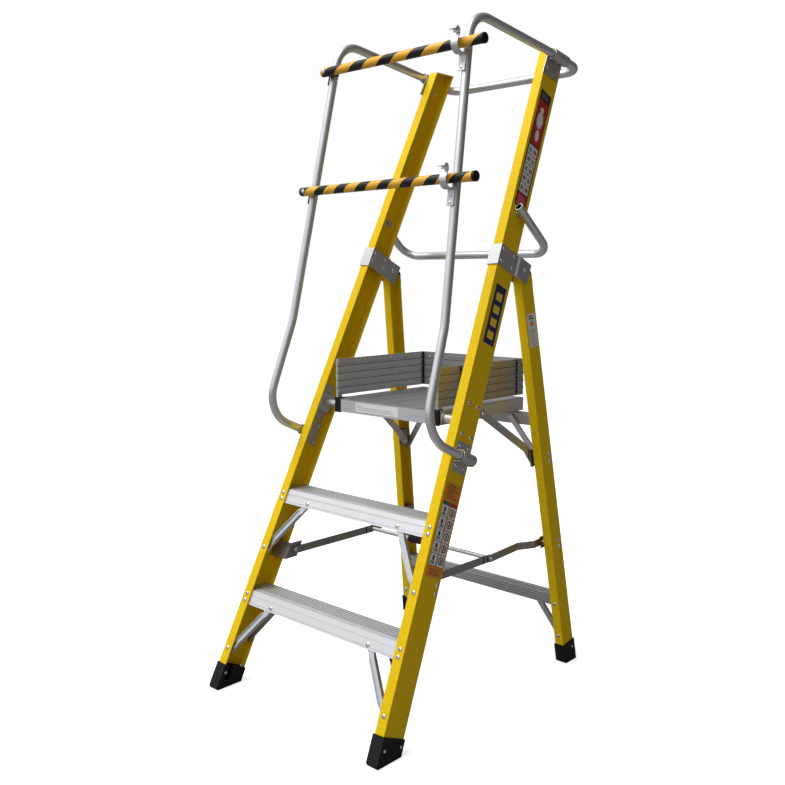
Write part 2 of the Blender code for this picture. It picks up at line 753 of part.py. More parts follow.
def add_angle_brackets(rear_pivot):
    """Z-shaped plates on the stiles' webs: for the spreader and for the platform struts."""
    front_base = FRONT_WIDTH / 2 - FRONT_WEB - GAP - 0.0013
    rear_base = REAR_WIDTH / 2 - REAR_WEB - GAP - 0.0013
    for word, side in SIDES.items():
        z = SPREADER_FRONT.z
        link_side = FRONT_LINK_X + TAB_REACH - front_x(z)
        path = [(front_base, 0.0705), (front_base, 0.046), (link_side, 0.046), (link_side, 0.085)]
        bm = stile_prism(front_point, side, strip_outline(path, 0.0026), z - 0.020, z + 0.020)
        add_mesh("spreader_bracket_front_" + word, bm, link_steel())
        z = SPREADER_REAR.z
        link_side = REAR_LINK_END_X + TAB_REACH - rear_x(z)
        path = [(rear_base, 0.0440), (rear_base, 0.030), (link_side, 0.030), (link_side, -0.002)]
        bm = stile_prism(rear_point, side, strip_outline(path, 0.0026), z - 0.016, z + 0.016)
        add_mesh("spreader_bracket_rear_" + word, bm, link_steel(), rear_pivot)
        z = STRUT_END.z
        link_side = STRUT_END_X + TAB_REACH - rear_x(z)
        path = [(rear_base, 0.006), (rear_base, 0.027), (link_side, 0.027), (link_side, -0.008)]
        bm = stile_prism(rear_point, side, strip_outline(path, 0.0026), z - 0.012, z + 0.034)
        add_mesh("strut_bracket_" + word, bm, link_steel(), rear_pivot)


def angle_section(front_y, rear_y, top, height, lean, wall):
    """(y, z) outline of an angle: level top flange, leaning web along its rear edge."""
    low = top - height
    return [Vector((front_y, top)), Vector((rear_y, top)), Vector((rear_y - lean * height, low)),
            Vector((rear_y - wall - lean * height, low)),
            Vector((rear_y - wall - lean * wall, top - wall)), Vector((front_y, top - wall))]


def add_rear_frame(pivot):
    clear = REAR_WEB + 0.0005
    for name, top in (("rear_bar", REAR_BAR_TOP), ("rear_crossbar", CROSSBAR_TOP)):
        front = rear_y(top) + clear
        rear = rear_y(top) + REAR_DEPTH - clear
        if name == "rear_bar":
            outline = hollow_section(front, rear, top, 0.030, REAR_LEAN, 5)
        else:
            outline = angle_section(front, rear, top, 0.036, REAR_LEAN, SHEET)
        half_length = rear_x(top) + REAR_WIDTH / 2 - REAR_WEB - 0.0006
        add_mesh(name, crosswise(outline, half_length), aluminium(), pivot)
    lean = math.atan(REAR_LEAN)
    rear = Vector((0.0, math.cos(lean), -math.sin(lean)))
    for word, side in SIDES.items():
        low = rear_point(side, -0.0060, 0.0, 0.080) + rear * 0.0068
        high = rear_point(side, -0.0620, 0.0, 0.169) + rear * 0.0068
        add_mesh("rear_brace_" + word, channel_brace(low, high, rear, 0.016), aluminium(), pivot)
        deep = REAR_DEPTH - REAR_WEB - 0.0095
        low = rear_point(side, -0.0110, 0.0, 0.533) + rear * deep
        high = rear_point(side, -0.0980, 0.0, 0.6605) + rear * deep
        bm = channel_brace(low, high, rear, 0.016, 0.0055)
        add_mesh("crossbar_brace_" + word, bm, aluminium(), pivot)


# ---------------------------------------------------------------- platform

def box(low, high):
    bm = bmesh.new()
    bmesh.ops.create_cube(bm, size=1.0)
    for vert in bm.verts:
        place = [low[i] + (vert.co[i] + 0.5) * (high[i] - low[i]) for i in range(3)]
        vert.co = Vector(place)
    return bm


def add_platform(pivot):
    half = PLATFORM_HALF_WIDTH
    low_z = PLATFORM_TOP - PLATFORM_HEIGHT
    outline = hollow_section(-half, half, PLATFORM_TOP, PLATFORM_HEIGHT, 0.0, 24)
    bm = extruded(outline, Vector((0.0, PLATFORM_FRONT + 0.002, 0.0)), Vector((1.0, 0.0, 0.0)),
                  Vector((0.0, 0.0, 1.0)), Vector((0.0, PLATFORM_REAR - PLATFORM_FRONT - 0.004, 0.0)))
    deck = add_mesh("platform_deck", bm, aluminium(), pivot)
    for word, y, top in (("front", PLATFORM_FRONT, PLATFORM_TOP),
                         ("rear", PLATFORM_REAR - 0.003, PLATFORM_TOP - 0.0015)):
        fascia = box((-half - 0.0005, y, low_z), (half + 0.0005, y + 0.003, top))
        cut(deck, add_cutter("deck_fascia_" + word, fascia, pivot), "UNION")
    bore = turned_rings(Vector((-0.19, PIVOT.y, PIVOT.z)), Vector((1.0, 0.0, 0.0)),
                        [(0.0, PIVOT_TUBE_RADIUS + 0.0004), (0.38, PIVOT_TUBE_RADIUS + 0.0004)])
    cut(deck, add_cutter("deck_bore", lofted(bore), pivot))
    reach = front_x(PIVOT.z) + FRONT_WIDTH / 2 - FRONT_WEB - 0.0015
    tube = turned_rings(Vector((-reach, PIVOT.y, PIVOT.z)), Vector((1.0, 0.0, 0.0)),
                        [(0.0, PIVOT_TUBE_RADIUS), (2 * reach, PIVOT_TUBE_RADIUS)])
    add_mesh("platform_pivot_tube", lofted(tube), tube_metal(), pivot, smooth=True)


def toe_outline():
    """(thickness, height) outline of a toe board with five level ribs outside."""
    outline = [Vector((0.0, TOE_BOTTOM)), Vector((0.0, TOE_TOP))]
    start = Vector((TOE_THICK + TOE_RIB, TOE_TOP))
    end = Vector((TOE_THICK + TOE_RIB, TOE_BOTTOM))
    return outline + grooved_line(start, end, 5, 0.0120, TOE_RIB, Vector((-1.0, 0.0)))


def add_toe_boards(pivot):
    outline = toe_outline()
    thick = TOE_THICK + TOE_RIB
    for word, side in SIDES.items():
        inner = side * (PLATFORM_HALF_WIDTH - thick)
        start = Vector((inner, PLATFORM_FRONT + 0.006, 0.0))
        run = Vector((0.0, PLATFORM_REAR - PLATFORM_FRONT - 0.006, 0.0))
        bm = extruded(outline, start, Vector((side, 0.0, 0.0)), Vector((0.0, 0.0, 1.0)), run)
        board = add_mesh("toe_board_" + word, bm, aluminium(), pivot)
        low, high = sorted((side * (PLATFORM_HALF_WIDTH - thick - 0.004),
                            side * (PLATFORM_HALF_WIDTH - 0.001)))
        post = box((low, PLATFORM_FRONT + 0.001, PLATFORM_TOP + GAP),
                   (high, PLATFORM_FRONT + 0.017, TOE_TOP - 0.0005))
        cut(board, add_cutter("toe_post_" + word, post, pivot), "UNION")
    inside = PLATFORM_HALF_WIDTH - thick - GAP
    start = Vector((-inside, PLATFORM_REAR - thick, 0.0))
    bm = extruded(outline, start, Vector((0.0, 1.0, 0.0)), Vector((0.0, 0.0, 1.0)),
                  Vector((2 * inside, 0.0, 0.0)))
    add_mesh("toe_board_rear", bm, aluminium(), pivot)


# ---------------------------------------------------------------- folding links

def add_struts(pivots):
    for word, side in SIDES.items():
        top = STRUT_TOP + Vector((side * STRUT_TOP_X, 0.0, 0.0))
        end = STRUT_END + Vector((side * STRUT_END_X, 0.0, 0.0))
        knee = Vector((side * (STRUT_END_X - 0.001), *STRUT_KNEE))
        add_mesh("platform_strut_" + word, ribbon([top, knee, end], STRUT_WIDTH, LINK_THICK),
                 link_steel(), pivots[word])


def add_spreader(front_pivot, rear_pivots):
    for word, side in SIDES.items():
        shift = Vector((side * FRONT_LINK_X, 0.0, 0.0))
        bm = ribbon([SPREADER_FRONT + shift, SPREADER_JOINT + shift], LINK_WIDTH, LINK_THICK)
        add_mesh("spreader_front_link_" + word, bm, link_steel(), front_pivot)
        near = SPREADER_JOINT + Vector((side * REAR_LINK_X, 0.0, 0.0))
        far = SPREADER_REAR + Vector((side * REAR_LINK_END_X, 0.0, 0.0))
        run = SPREADER_REAR - SPREADER_JOINT
        bend_a = SPREADER_JOINT + run * 0.62 + Vector((side * REAR_LINK_X, 0.0, 0.0))
        bend_b = SPREADER_JOINT + run * 0.82 + Vector((side * REAR_LINK_END_X, 0.0, 0.0))
        bm = ribbon([near, bend_a, bend_b, far], LINK_WIDTH, LINK_THICK)
        add_mesh("spreader_rear_link_" + word, bm, link_steel(), rear_pivots[word])
    reach = FRONT_LINK_X - LINK_THICK / 2 - GAP
    rod_radius = 0.0055
    rings = turned_rings(SPREADER_JOINT - Vector((reach, 0.0, 0.0)), Vector((1.0, 0.0, 0.0)),
                         [(0.0, rod_radius), (2 * reach, rod_radius)], 12)
    add_mesh("spreader_rod", lofted(rings), tube_metal(), front_pivot, smooth=True)
    grip_half = 0.065
    bore = rod_radius + GAP
    profile = [(0.0, bore), (0.0, 0.0085), (0.003, 0.0105), (2 * grip_half - 0.003, 0.0105),
               (2 * grip_half, 0.0085), (2 * grip_half, bore)]
    rings = turned_rings(SPREADER_JOINT - Vector((grip_half, 0.0, 0.0)), Vector((1.0, 0.0, 0.0)),
                         profile, 16)
    add_mesh("spreader_grip", lofted(rings, closed=True), rubber(), front_pivot, smooth=True)


# ---------------------------------------------------------------- assembly

def main():
    clear_scene()
    ladder = pivot_empty("ladder", Vector((0.0, -MIDDLE_Y, -FLOOR_Z)))
    rear_pivot = pivot_empty("rear_frame_pivot", HINGE)
    platform_pivot = pivot_empty("platform_pivot", PIVOT)
    spreader_pivot = pivot_empty("spreader_front_pivot", SPREADER_FRONT)
    for pivot in (rear_pivot, platform_pivot, spreader_pivot):
        carry(ladder, pivot)
    strut_pivots = {}
    link_pivots = {}
    for word, side in SIDES.items():
        across = Vector((side * STRUT_END_X, 0.0, 0.0))
        strut_pivots[word] = pivot_empty("strut_pivot_" + word, STRUT_END + across)
        across = Vector((side * REAR_LINK_END_X, 0.0, 0.0))
        link_pivots[word] = pivot_empty("rear_link_pivot_" + word, SPREADER_REAR + across)
        carry(rear_pivot, strut_pivots[word])
        carry(rear_pivot, link_pivots[word])
    gate_pivots = {}
    for word, bar_z in (("upper", UPPER_BAR_Z), ("lower", LOWER_BAR_Z)):
        place = Vector((-rail_x(bar_z), gate_y(bar_z), bar_z))
        gate_pivots[word] = pivot_empty("gate_pivot_" + word, place)
        carry(ladder, gate_pivots[word])
    add_stiles(rear_pivot)
    add_boots(rear_pivot)
    add_treads()
    add_tread_braces()
    add_hinge_brackets()
    add_handrails()
    add_rear_rails()
    add_top_brackets()
    add_handrail_clamps()
    add_gates(gate_pivots)
    add_platform_brackets()
    add_angle_brackets(rear_pivot)
    add_rear_frame(rear_pivot)
    add_platform(platform_pivot)
    add_toe_boards(platform_pivot)
    add_struts(strut_pivots)
    add_spreader(spreader_pivot, link_pivots)


main()
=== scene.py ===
"""Looks of the platform step ladder: surfaces, fixings, caps, labels, tape, floor and light.

Metres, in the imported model's frame. Places on the stiles are worked out from the lean and
taper of each frame, measured from the feet of the front stiles; SHIFT brings them to the
model's origin.
"""
import math

import bmesh
import bpy
from mathutils import Matrix, Vector


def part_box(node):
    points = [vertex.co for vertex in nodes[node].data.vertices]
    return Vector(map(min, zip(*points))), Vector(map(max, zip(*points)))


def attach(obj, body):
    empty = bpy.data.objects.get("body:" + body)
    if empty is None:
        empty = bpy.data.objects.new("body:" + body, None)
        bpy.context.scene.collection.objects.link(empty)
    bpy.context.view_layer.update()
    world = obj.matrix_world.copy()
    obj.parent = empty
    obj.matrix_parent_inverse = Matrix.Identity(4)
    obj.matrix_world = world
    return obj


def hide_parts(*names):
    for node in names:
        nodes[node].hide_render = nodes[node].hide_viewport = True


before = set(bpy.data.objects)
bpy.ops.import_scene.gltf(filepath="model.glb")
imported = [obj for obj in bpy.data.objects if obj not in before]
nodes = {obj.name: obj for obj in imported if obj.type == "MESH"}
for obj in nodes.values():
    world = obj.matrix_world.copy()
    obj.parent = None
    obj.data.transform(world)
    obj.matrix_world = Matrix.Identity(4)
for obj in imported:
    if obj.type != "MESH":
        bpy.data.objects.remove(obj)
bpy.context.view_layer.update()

# ---------------------------------------------------------------- the ladder's geometry

SHIFT = Vector((0.0, -0.4425, 0.004))
SIDES = {"left": -1, "right": 1}


def at(x, y, z):
    """A place measured from the feet of the front stiles, in the model's frame."""
    return Vector((x, y, z)) + SHIFT


X_AXIS = Vector((1.0, 0.0, 0.0))
Y_AXIS = Vector((0.0, 1.0, 0.0))

FRONT_LEAN = 0.4607
FRONT_TAPER = 0.0583
FRONT_WIDTH = 0.0275
FRONT_DEPTH = 0.0752
FRONT_WEB = 0.0040
FRONT_TOP = 1.620
REAR_LEAN = -0.1527
REAR_TAPER = 0.0555
REAR_WIDTH = 0.0255
REAR_DEPTH = 0.0486

TREAD_TOPS = {"lower": 0.2345, "upper": 0.4845}
TREAD_NOSE = 0.0049             # tread skirt behind the stiles' front faces
TREAD_GROOVES = 8
BRACE_INSET = 0.0073            # braces under the treads, behind the stiles' front faces
DECK_GROOVES = 24
TOE_FOOT = 0.7300
TOE_SLAT = 0.0192
TOE_MIDDLE = 0.7780
TOE_STRIP = 0.0940              # height of the black strips in the toe boards' corners
LINK_OUT = 0.2052               # inner face of the front links, off the middle
PLATFORM_TOP = 0.7225
PLATFORM_FRONT = 0.344
PLATFORM_REAR = 0.6985
PLATFORM_HALF = 0.1768
PIVOT = at(0.0, 0.3627, 0.7040)

TOP_PLATE = 0.0055              # outer face of the rail's top bracket, off the web
CLAMP_PLATE = 0.0030
TUBE_RADIUS = 0.0104
GUARD_RADIUS = 0.0112
TUBE_WALL = 0.0016
TUBE_OFFSET = 0.01645
RAIL_JOINT_Y = 0.742
REAR_RAIL_FALL = 0.176
BAR_RADIUS = 0.0114
GATE_GAP = 0.0050
# height, reach past the pivot, reach past the hook, pitch of the tape and its start
BARS = {"upper": (1.566, 0.0170, 0.0700, 0.0976, 0.84),
        "lower": (1.260, 0.0205, 0.0770, 0.0742, 0.16)}


def front_x(z):
    return 0.281 - FRONT_TAPER * z


def rear_x(z):
    return 0.2823 - REAR_TAPER * z


def front_y(z):
    return 0.0040 + FRONT_LEAN * z


def rear_y(z):
    return 0.7492 + REAR_LEAN * z


def front_spot(side, u, v, z):
    """u outward from a front stile's centre, v behind its front face, at a height."""
    return at(side * (front_x(z) + u), front_y(z) + v, z)


def rear_spot(side, u, v, z):
    return at(side * (rear_x(z) + u), rear_y(z) + v, z)


def web_spot(side, along, deep, out=0.0):
    """On a front stile's outer web: along the stile and square to its front face."""
    lean = math.atan(FRONT_LEAN)
    y = along * math.sin(lean) + deep * math.cos(lean)
    z = along * math.cos(lean) - deep * math.sin(lean)
    return at(side * (front_x(z) + FRONT_WIDTH / 2 + out), y, z)


def stile_axes(side, lean, taper):
    """Outward, rearward and upward axes of a stile."""
    up = Vector((-side * taper, lean, 1.0)).normalized()
    out = Vector((side, 0.0, taper)).normalized()
    return out, (up.cross(out) * side).normalized(), up


def front_axes(side):
    return stile_axes(side, FRONT_LEAN, FRONT_TAPER)


def rear_axes(side):
    return stile_axes(side, REAR_LEAN, REAR_TAPER)


def rail_x(z):
    return front_x(z) + FRONT_WIDTH / 2 + TUBE_OFFSET


def handrail_y(z):
    return 0.279 + 0.193 * (z - 0.985)


def top_rail_z(y):
    level = 1.629 - 0.12 * (min(y, RAIL_JOINT_Y) - 0.57)
    return level - REAR_RAIL_FALL * max(y - RAIL_JOINT_Y, 0.0)


def gate_y(bar_z):
    return handrail_y(bar_z) - TUBE_RADIUS - BAR_RADIUS - GATE_GAP


# ---------------------------------------------------------------- materials

def shader_node(tree, kind, inputs=(), **settings):
    """A node with its inputs set; a socket given as an input is linked."""
    made = tree.nodes.new(kind)
    for key, value in settings.items():
        setattr(made, key, value)
    for key, value in dict(inputs).items():
        if isinstance(value, bpy.types.NodeSocket):
            tree.links.new(value, made.inputs[key])
        else:
            made.inputs[key].default_value = value
    return made


def object_coords(tree, scale=(1.0, 1.0, 1.0), turn=0.0):
    """Object coordinates, first turned about X, then stretched."""
    coords = shader_node(tree, "ShaderNodeTexCoord").outputs["Object"]
    turned = shader_node(tree, "ShaderNodeMapping", {"Vector": coords, "Rotation": (turn, 0, 0)})
    return shader_node(tree, "ShaderNodeMapping",
                       {"Vector": turned.outputs[0], "Scale": scale}).outputs[0]


def noise(tree, vector, scale, detail=2.0, rough=0.5):
    return shader_node(tree, "ShaderNodeTexNoise", {"Vector": vector, "Scale": scale,
                       "Detail": detail, "Roughness": rough}).outputs["Fac"]


def ramp(tree, fac, stops):
    made = shader_node(tree, "ShaderNodeValToRGB", {"Fac": fac})
    band = made.color_ramp
    while len(band.elements) < len(stops):
        band.elements.new(0.5)
    for element, (place, colour) in zip(band.elements, stops):
        element.position = place
        element.color = (*colour, 1.0)
    return made.outputs["Color"]


def blend_colours(tree, fac, first, second, mode="MIX"):
    made = shader_node(tree, "ShaderNodeMix", data_type="RGBA", blend_type=mode)
    for key, value in ((0, fac), (6, first), (7, second)):
        if isinstance(value, bpy.types.NodeSocket):
            tree.links.new(value, made.inputs[key])
        else:
            made.inputs[key].default_value = value if key == 0 else (*value, 1.0)
    return made.outputs[2]


def calc(tree, operation, first, second=0.0):
    return shader_node(tree, "ShaderNodeMath", {0: first, 1: second},
                       operation=operation).outputs[0]


def times(tree, first, second):
    return calc(tree, "MULTIPLY", first, second)


def spread(tree, fac, low, high):
    """Rescale a 0 to 1 value, clamped."""
    return shader_node(tree, "ShaderNodeMapRange",
                       {"Value": fac, "To Min": low, "To Max": high}).outputs[0]


def bump(tree, height, distance, strength=1.0):
    return shader_node(tree, "ShaderNodeBump", {"Height": height, "Distance": distance,
                       "Strength": strength}).outputs[0]


def start_material(name):
    made = bpy.data.materials.new(name)
    made.use_nodes = True
    return made, made.node_tree, made.node_tree.nodes["Principled BSDF"]


def feed(tree, shader, **inputs):
    """Set a Principled shader's inputs; underscores stand for spaces in their names."""
    for key, value in inputs.items():
        socket = shader.inputs[key.replace("_", " ")]
        if isinstance(value, bpy.types.NodeSocket):
            tree.links.new(value, socket)
        else:
            socket.default_value = value


def fibreglass_material(name, lean):
    """Pultruded yellow fibreglass: fine veil speckle and faint streaks along the stile."""
    made, tree, shader = start_material(name)
    flat = object_coords(tree)
    along = object_coords(tree, (420.0, 420.0, 9.0), math.atan(lean))
    speckle = noise(tree, flat, 430.0, 3.0, 0.65)
    streak = noise(tree, along, 1.0, 2.0, 0.5)
    patch = noise(tree, flat, 7.0, 2.0, 0.5)
    colour = ramp(tree, speckle, ((0.30, (0.62, 0.375, 0.001)), (0.50, (0.84, 0.560, 0.002)),
                                  (0.72, (0.94, 0.690, 0.020))))
    colour = blend_colours(tree, spread(tree, streak, 0.0, 0.22), colour, (0.68, 0.42, 0.001))
    colour = blend_colours(tree, spread(tree, patch, 0.0, 0.16), colour, (0.90, 0.66, 0.006))
    height = calc(tree, "ADD", times(tree, speckle, 0.6), streak)
    feed(tree, shader, Base_Color=colour, Roughness=spread(tree, speckle, 0.40, 0.62),
         Normal=bump(tree, height, 0.00022, 0.7), Specular_IOR_Level=0.12)
    return made


def metal_material(name, colour, rough, grain_axis=None, metallic=1.0, mottling=0.10, relief=0.00003):
    """Satin metal with mottled tone, and drawn lines along one axis if it has one."""
    made, tree, shader = start_material(name)
    flat = object_coords(tree)
    scale = [260.0, 260.0, 260.0]
    if grain_axis is not None:
        scale = [420.0, 420.0, 420.0]
        scale[grain_axis] = 6.0
    grain = noise(tree, object_coords(tree, scale), 1.0, 3.0, 0.6)
    patch = noise(tree, flat, 22.0, 4.0, 0.6)
    fine = noise(tree, flat, 380.0, 2.0, 0.6)
    dark = tuple(channel * (1.0 - 2.2 * mottling) for channel in colour)
    light = tuple(min(channel * (1.0 + mottling), 1.0) for channel in colour)
    tone = blend_colours(tree, patch, dark, light)
    tone = blend_colours(tree, spread(tree, fine, 0.0, 0.35), tone, dark)
    tone = blend_colours(tree, spread(tree, grain, 0.0, 0.30), tone, light)
    mixed = calc(tree, "ADD", times(tree, patch, 0.5), times(tree, grain, 0.5))
    feed(tree, shader, Base_Color=tone, Metallic=metallic,
         Roughness=spread(tree, mixed, rough - 0.08, rough + 0.10),
         Normal=bump(tree, grain, relief))
    return made


def near_mask(tree, value, places, half_width):
    """1 where a coordinate is within half_width of any of the places."""
    mask = None
    for place in places:
        near = calc(tree, "LESS_THAN", calc(tree, "ABSOLUTE", calc(tree, "SUBTRACT", value, place)),
                    half_width)
        mask = near if mask is None else calc(tree, "MAXIMUM", mask, near)
    return mask


def groove_mask(tree, value, start, pitch, half_width):
    """1 along evenly spaced lines."""
    phase = calc(tree, "FRACT", calc(tree, "DIVIDE", calc(tree, "SUBTRACT", value, start - 40 * pitch),
                                     pitch))
    return calc(tree, "LESS_THAN", calc(tree, "ABSOLUTE", calc(tree, "SUBTRACT", phase, 0.5)),
                half_width / pitch)


def axis_value(tree, axis):
    coords = shader_node(tree, "ShaderNodeTexCoord").outputs["Object"]
    return shader_node(tree, "ShaderNodeSeparateXYZ", {0: coords}).outputs[axis]


def paint_groove_shade(made, mask, shade=0.25):
    """Darken and dull an existing metal wherever the mask is 1: painted shade in grooves and joints."""
    tree = made.node_tree
    shader = tree.nodes["Principled BSDF"]
    unshaded_tone = shader.inputs["Base Color"].links[0].from_socket
    # The noise varies the painted shade between near black and dark grey.
    wear_and_shade_mottle = noise(tree, object_coords(tree), 60.0, 3.0)
    shaded_tone = blend_colours(tree, wear_and_shade_mottle, (0.05 * shade, 0.05 * shade, 0.05 * shade),
                           (0.45 * shade, 0.44 * shade, 0.42 * shade))
    tree.links.new(blend_colours(tree, mask, unshaded_tone, shaded_tone), shader.inputs["Base Color"])
    rough = shader.inputs["Roughness"].links[0].from_socket
    duller = calc(tree, "ADD", rough, times(tree, mask, 0.3))
    tree.links.new(duller, shader.inputs["Roughness"])


def tread_material(word):
    """Extruded tread: painted shade in the grooves along its top, weaker in front, and painted shade lines
    on its skirts.
    """
    top = TREAD_TOPS[word] + SHIFT.z
    start = front_y(TREAD_TOPS[word]) + TREAD_NOSE + SHIFT.y
    pitch = (FRONT_DEPTH - 2 * TREAD_NOSE) / TREAD_GROOVES
    made = metal_material("tread_aluminium_" + word, (0.78, 0.79, 0.82), 0.46, 0, 0.70, 0.03, 0.000002)
    tree = made.node_tree
    height = axis_value(tree, 2)
    depth = axis_value(tree, 1)
    across = groove_mask(tree, depth, start, pitch, 0.0017)
    on_top = calc(tree, "GREATER_THAN", height, top - 0.0016)
    behind = calc(tree, "GREATER_THAN", depth, start + 2.0 * pitch)
    # Painted shade: weaker in the front two grooves, and in lines beside the skirt's ridges.
    shade_strength = calc(tree, "ADD", times(tree, behind, 0.55), 0.20)
    skirt_shade_lines = near_mask(tree, height, (top - 0.0115, top - 0.0285), 0.00045)
    groove_shade = times(tree, times(tree, across, on_top), shade_strength)
    paint_groove_shade(made, calc(tree, "MAXIMUM", groove_shade, times(tree, skirt_shade_lines, 0.6)), 0.55)
    return made


def rear_bar_material():
    """Extruded bar with painted shade lines along its top and its skirts."""
    low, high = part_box("rear_bar")
    made = metal_material("bar_aluminium", (0.66, 0.67, 0.69), 0.42, 0, 0.80, 0.05, 0.000002)
    tree = made.node_tree
    height = axis_value(tree, 2)
    top_shade_lines = groove_mask(tree, axis_value(tree, 1), low.y, (high.y - low.y) / 5, 0.0014)
    on_top = calc(tree, "GREATER_THAN", height, high.z - 0.0016)
    side_shade_lines = groove_mask(tree, height, high.z, 0.0068, 0.0011)
    side_shade_lines = times(tree, side_shade_lines, calc(tree, "LESS_THAN", height, high.z - 0.0020))
    # Painted shade in the grooves along its top and down its skirts.
    groove_shade = calc(tree, "MAXIMUM", times(tree, top_shade_lines, on_top), side_shade_lines)
    paint_groove_shade(made, times(tree, groove_shade, 0.75), 0.4)
    return made


def deck_material():
    """Extruded planks: painted shade in grooves front to rear and in joints every few grooves, and a reeded
    fascia painted lighter than the top.
    """
    half = PLATFORM_HALF
    pitch = 2 * half / DECK_GROOVES
    made = metal_material("deck_aluminium", (0.47, 0.475, 0.48), 0.44, 1, 0.82, 0.08)
    tree = made.node_tree
    side = axis_value(tree, 0)
    height = axis_value(tree, 2)
    top = PLATFORM_TOP + SHIFT.z
    on_top = calc(tree, "GREATER_THAN", height, top - 0.0016)
    fine = groove_mask(tree, side, -half, pitch, 0.0016)
    joint_shade = near_mask(tree, side, [pitch * k for k in (-8, -4, 0, 4, 8)], 0.0011)
    reed_shade = groove_mask(tree, height, top, 0.0032, 0.00035)
    on_side = calc(tree, "LESS_THAN", height, top - 0.0030)
    # Painted shade in the grooves and joints on top, fainter in the fascia's reeds.
    mask = times(tree, calc(tree, "MAXIMUM", times(tree, fine, 0.6), joint_shade), on_top)
    faint = times(tree, times(tree, reed_shade, on_side), 0.22)
    # Painted light: the fascia gets a lighter, bluer tone than the top of the same metal.
    shader = tree.nodes["Principled BSDF"]
    plain = shader.inputs["Base Color"].links[0].from_socket
    lit_fascia_tone = blend_colours(tree, 0.75, plain, (0.80, 0.82, 0.87))
    tree.links.new(blend_colours(tree, on_side, plain, lit_fascia_tone), shader.inputs["Base Color"])
    paint_groove_shade(made, calc(tree, "MAXIMUM", mask, faint), 0.5)
    return made


def toe_material(name, grain_axis, colour=(0.50, 0.505, 0.51)):
    """Board of five interlocking slats, each with a step line along it; painted shade darkens the joints and
    step lines.
    """
    made = metal_material(name, colour, 0.40, grain_axis, 0.85, 0.08)
    tree = made.node_tree
    height = axis_value(tree, 2)
    low = TOE_FOOT + SHIFT.z
    # Painted shade in the joints between slats, fainter along the step lines.
    joint_shade = near_mask(tree, height, [low + TOE_SLAT * k for k in (1, 2, 3, 4)], 0.00075)
    steps = near_mask(tree, height, [low + TOE_SLAT * k + 0.0052 for k in range(5)], 0.0004)
    paint_groove_shade(made, calc(tree, "MAXIMUM", joint_shade, times(tree, steps, 0.5)), 0.4)
    return made


def rubber_material(name, colour=(0.005, 0.005, 0.005), rough=0.52):
    """Moulded rubber or plastic with a fine spark-eroded texture."""
    made, tree, shader = start_material(name)
    flat = object_coords(tree)
    fine = noise(tree, flat, 900.0, 3.0, 0.6)
    patch = noise(tree, flat, 35.0, 3.0, 0.6)
    wear_and_shade_mottle = tuple(channel * 2.0 + 0.003 for channel in colour)
    tone = blend_colours(tree, spread(tree, patch, 0.0, 0.7), colour, wear_and_shade_mottle)
    feed(tree, shader, Base_Color=tone, Roughness=spread(tree, fine, rough - 0.1, rough + 0.12),
         Normal=bump(tree, fine, 0.00012, 0.8), Specular_IOR_Level=0.22)
    return made


def tape_material(name, centre, pitch, phase):
    """Yellow and black tape wound round a bar that lies along X."""
    made, tree, shader = start_material(name)
    coords = shader_node(tree, "ShaderNodeTexCoord").outputs["Object"]
    parts = shader_node(tree, "ShaderNodeSeparateXYZ", {0: coords})
    height = calc(tree, "SUBTRACT", parts.outputs[2], centre.z)
    depth = calc(tree, "SUBTRACT", parts.outputs[1], centre.y)
    turn = calc(tree, "DIVIDE", calc(tree, "ARCTAN2", height, depth), 2 * math.pi)
    run = calc(tree, "DIVIDE", calc(tree, "SUBTRACT", parts.outputs[0], centre.x), pitch)
    wrap = calc(tree, "FRACT", calc(tree, "ADD", calc(tree, "ADD", run, turn), 20.0 + phase))
    wobble = noise(tree, coords, 130.0, 2.0)
    wrap = calc(tree, "ADD", wrap, times(tree, calc(tree, "SUBTRACT", wobble, 0.5), 0.02))
    scuff = noise(tree, coords, 260.0, 4.0, 0.7)
    yellow = ramp(tree, scuff, ((0.30, (0.60, 0.300, 0.018)), (0.62, (0.86, 0.470, 0.040))))
    black = ramp(tree, scuff, ((0.30, (0.004, 0.004, 0.004)), (0.75, (0.014, 0.014, 0.013))))
    is_black = calc(tree, "GREATER_THAN", wrap, 0.52)
    colour = blend_colours(tree, is_black, yellow, black)
    lap = calc(tree, "LESS_THAN", calc(tree, "FRACT", calc(tree, "ADD", wrap, 0.48)), 0.035)
    feed(tree, shader, Base_Color=colour, Roughness=spread(tree, scuff, 0.26, 0.46),
         Normal=bump(tree, calc(tree, "SUBTRACT", scuff, times(tree, lap, 2.0)), 0.00012),
         Specular_IOR_Level=0.3)
    return made


def print_material(name, colour, rough=0.42):
    """Printed film: nearly even ink with a faint scuffed sheen."""
    made, tree, shader = start_material(name)
    flat = object_coords(tree)
    patch = noise(tree, flat, 70.0, 3.0, 0.6)
    faded = tuple(channel * 0.86 + 0.02 for channel in colour)
    tone = blend_colours(tree, spread(tree, patch, 0.0, 0.8), colour, faded)
    feed(tree, shader, Base_Color=tone, Roughness=spread(tree, patch, rough - 0.06, rough + 0.12),
         Specular_IOR_Level=0.35)
    return made


FRONT_GLASS = fibreglass_material("fibreglass_front", FRONT_LEAN)
REAR_GLASS = fibreglass_material("fibreglass_rear", REAR_LEAN)
TREAD_METALS = {word: tread_material(word) for word in TREAD_TOPS}
BAR_METAL = rear_bar_material()
DECK_METAL = deck_material()
TOE_METAL = toe_material("toe_board_aluminium", 1)
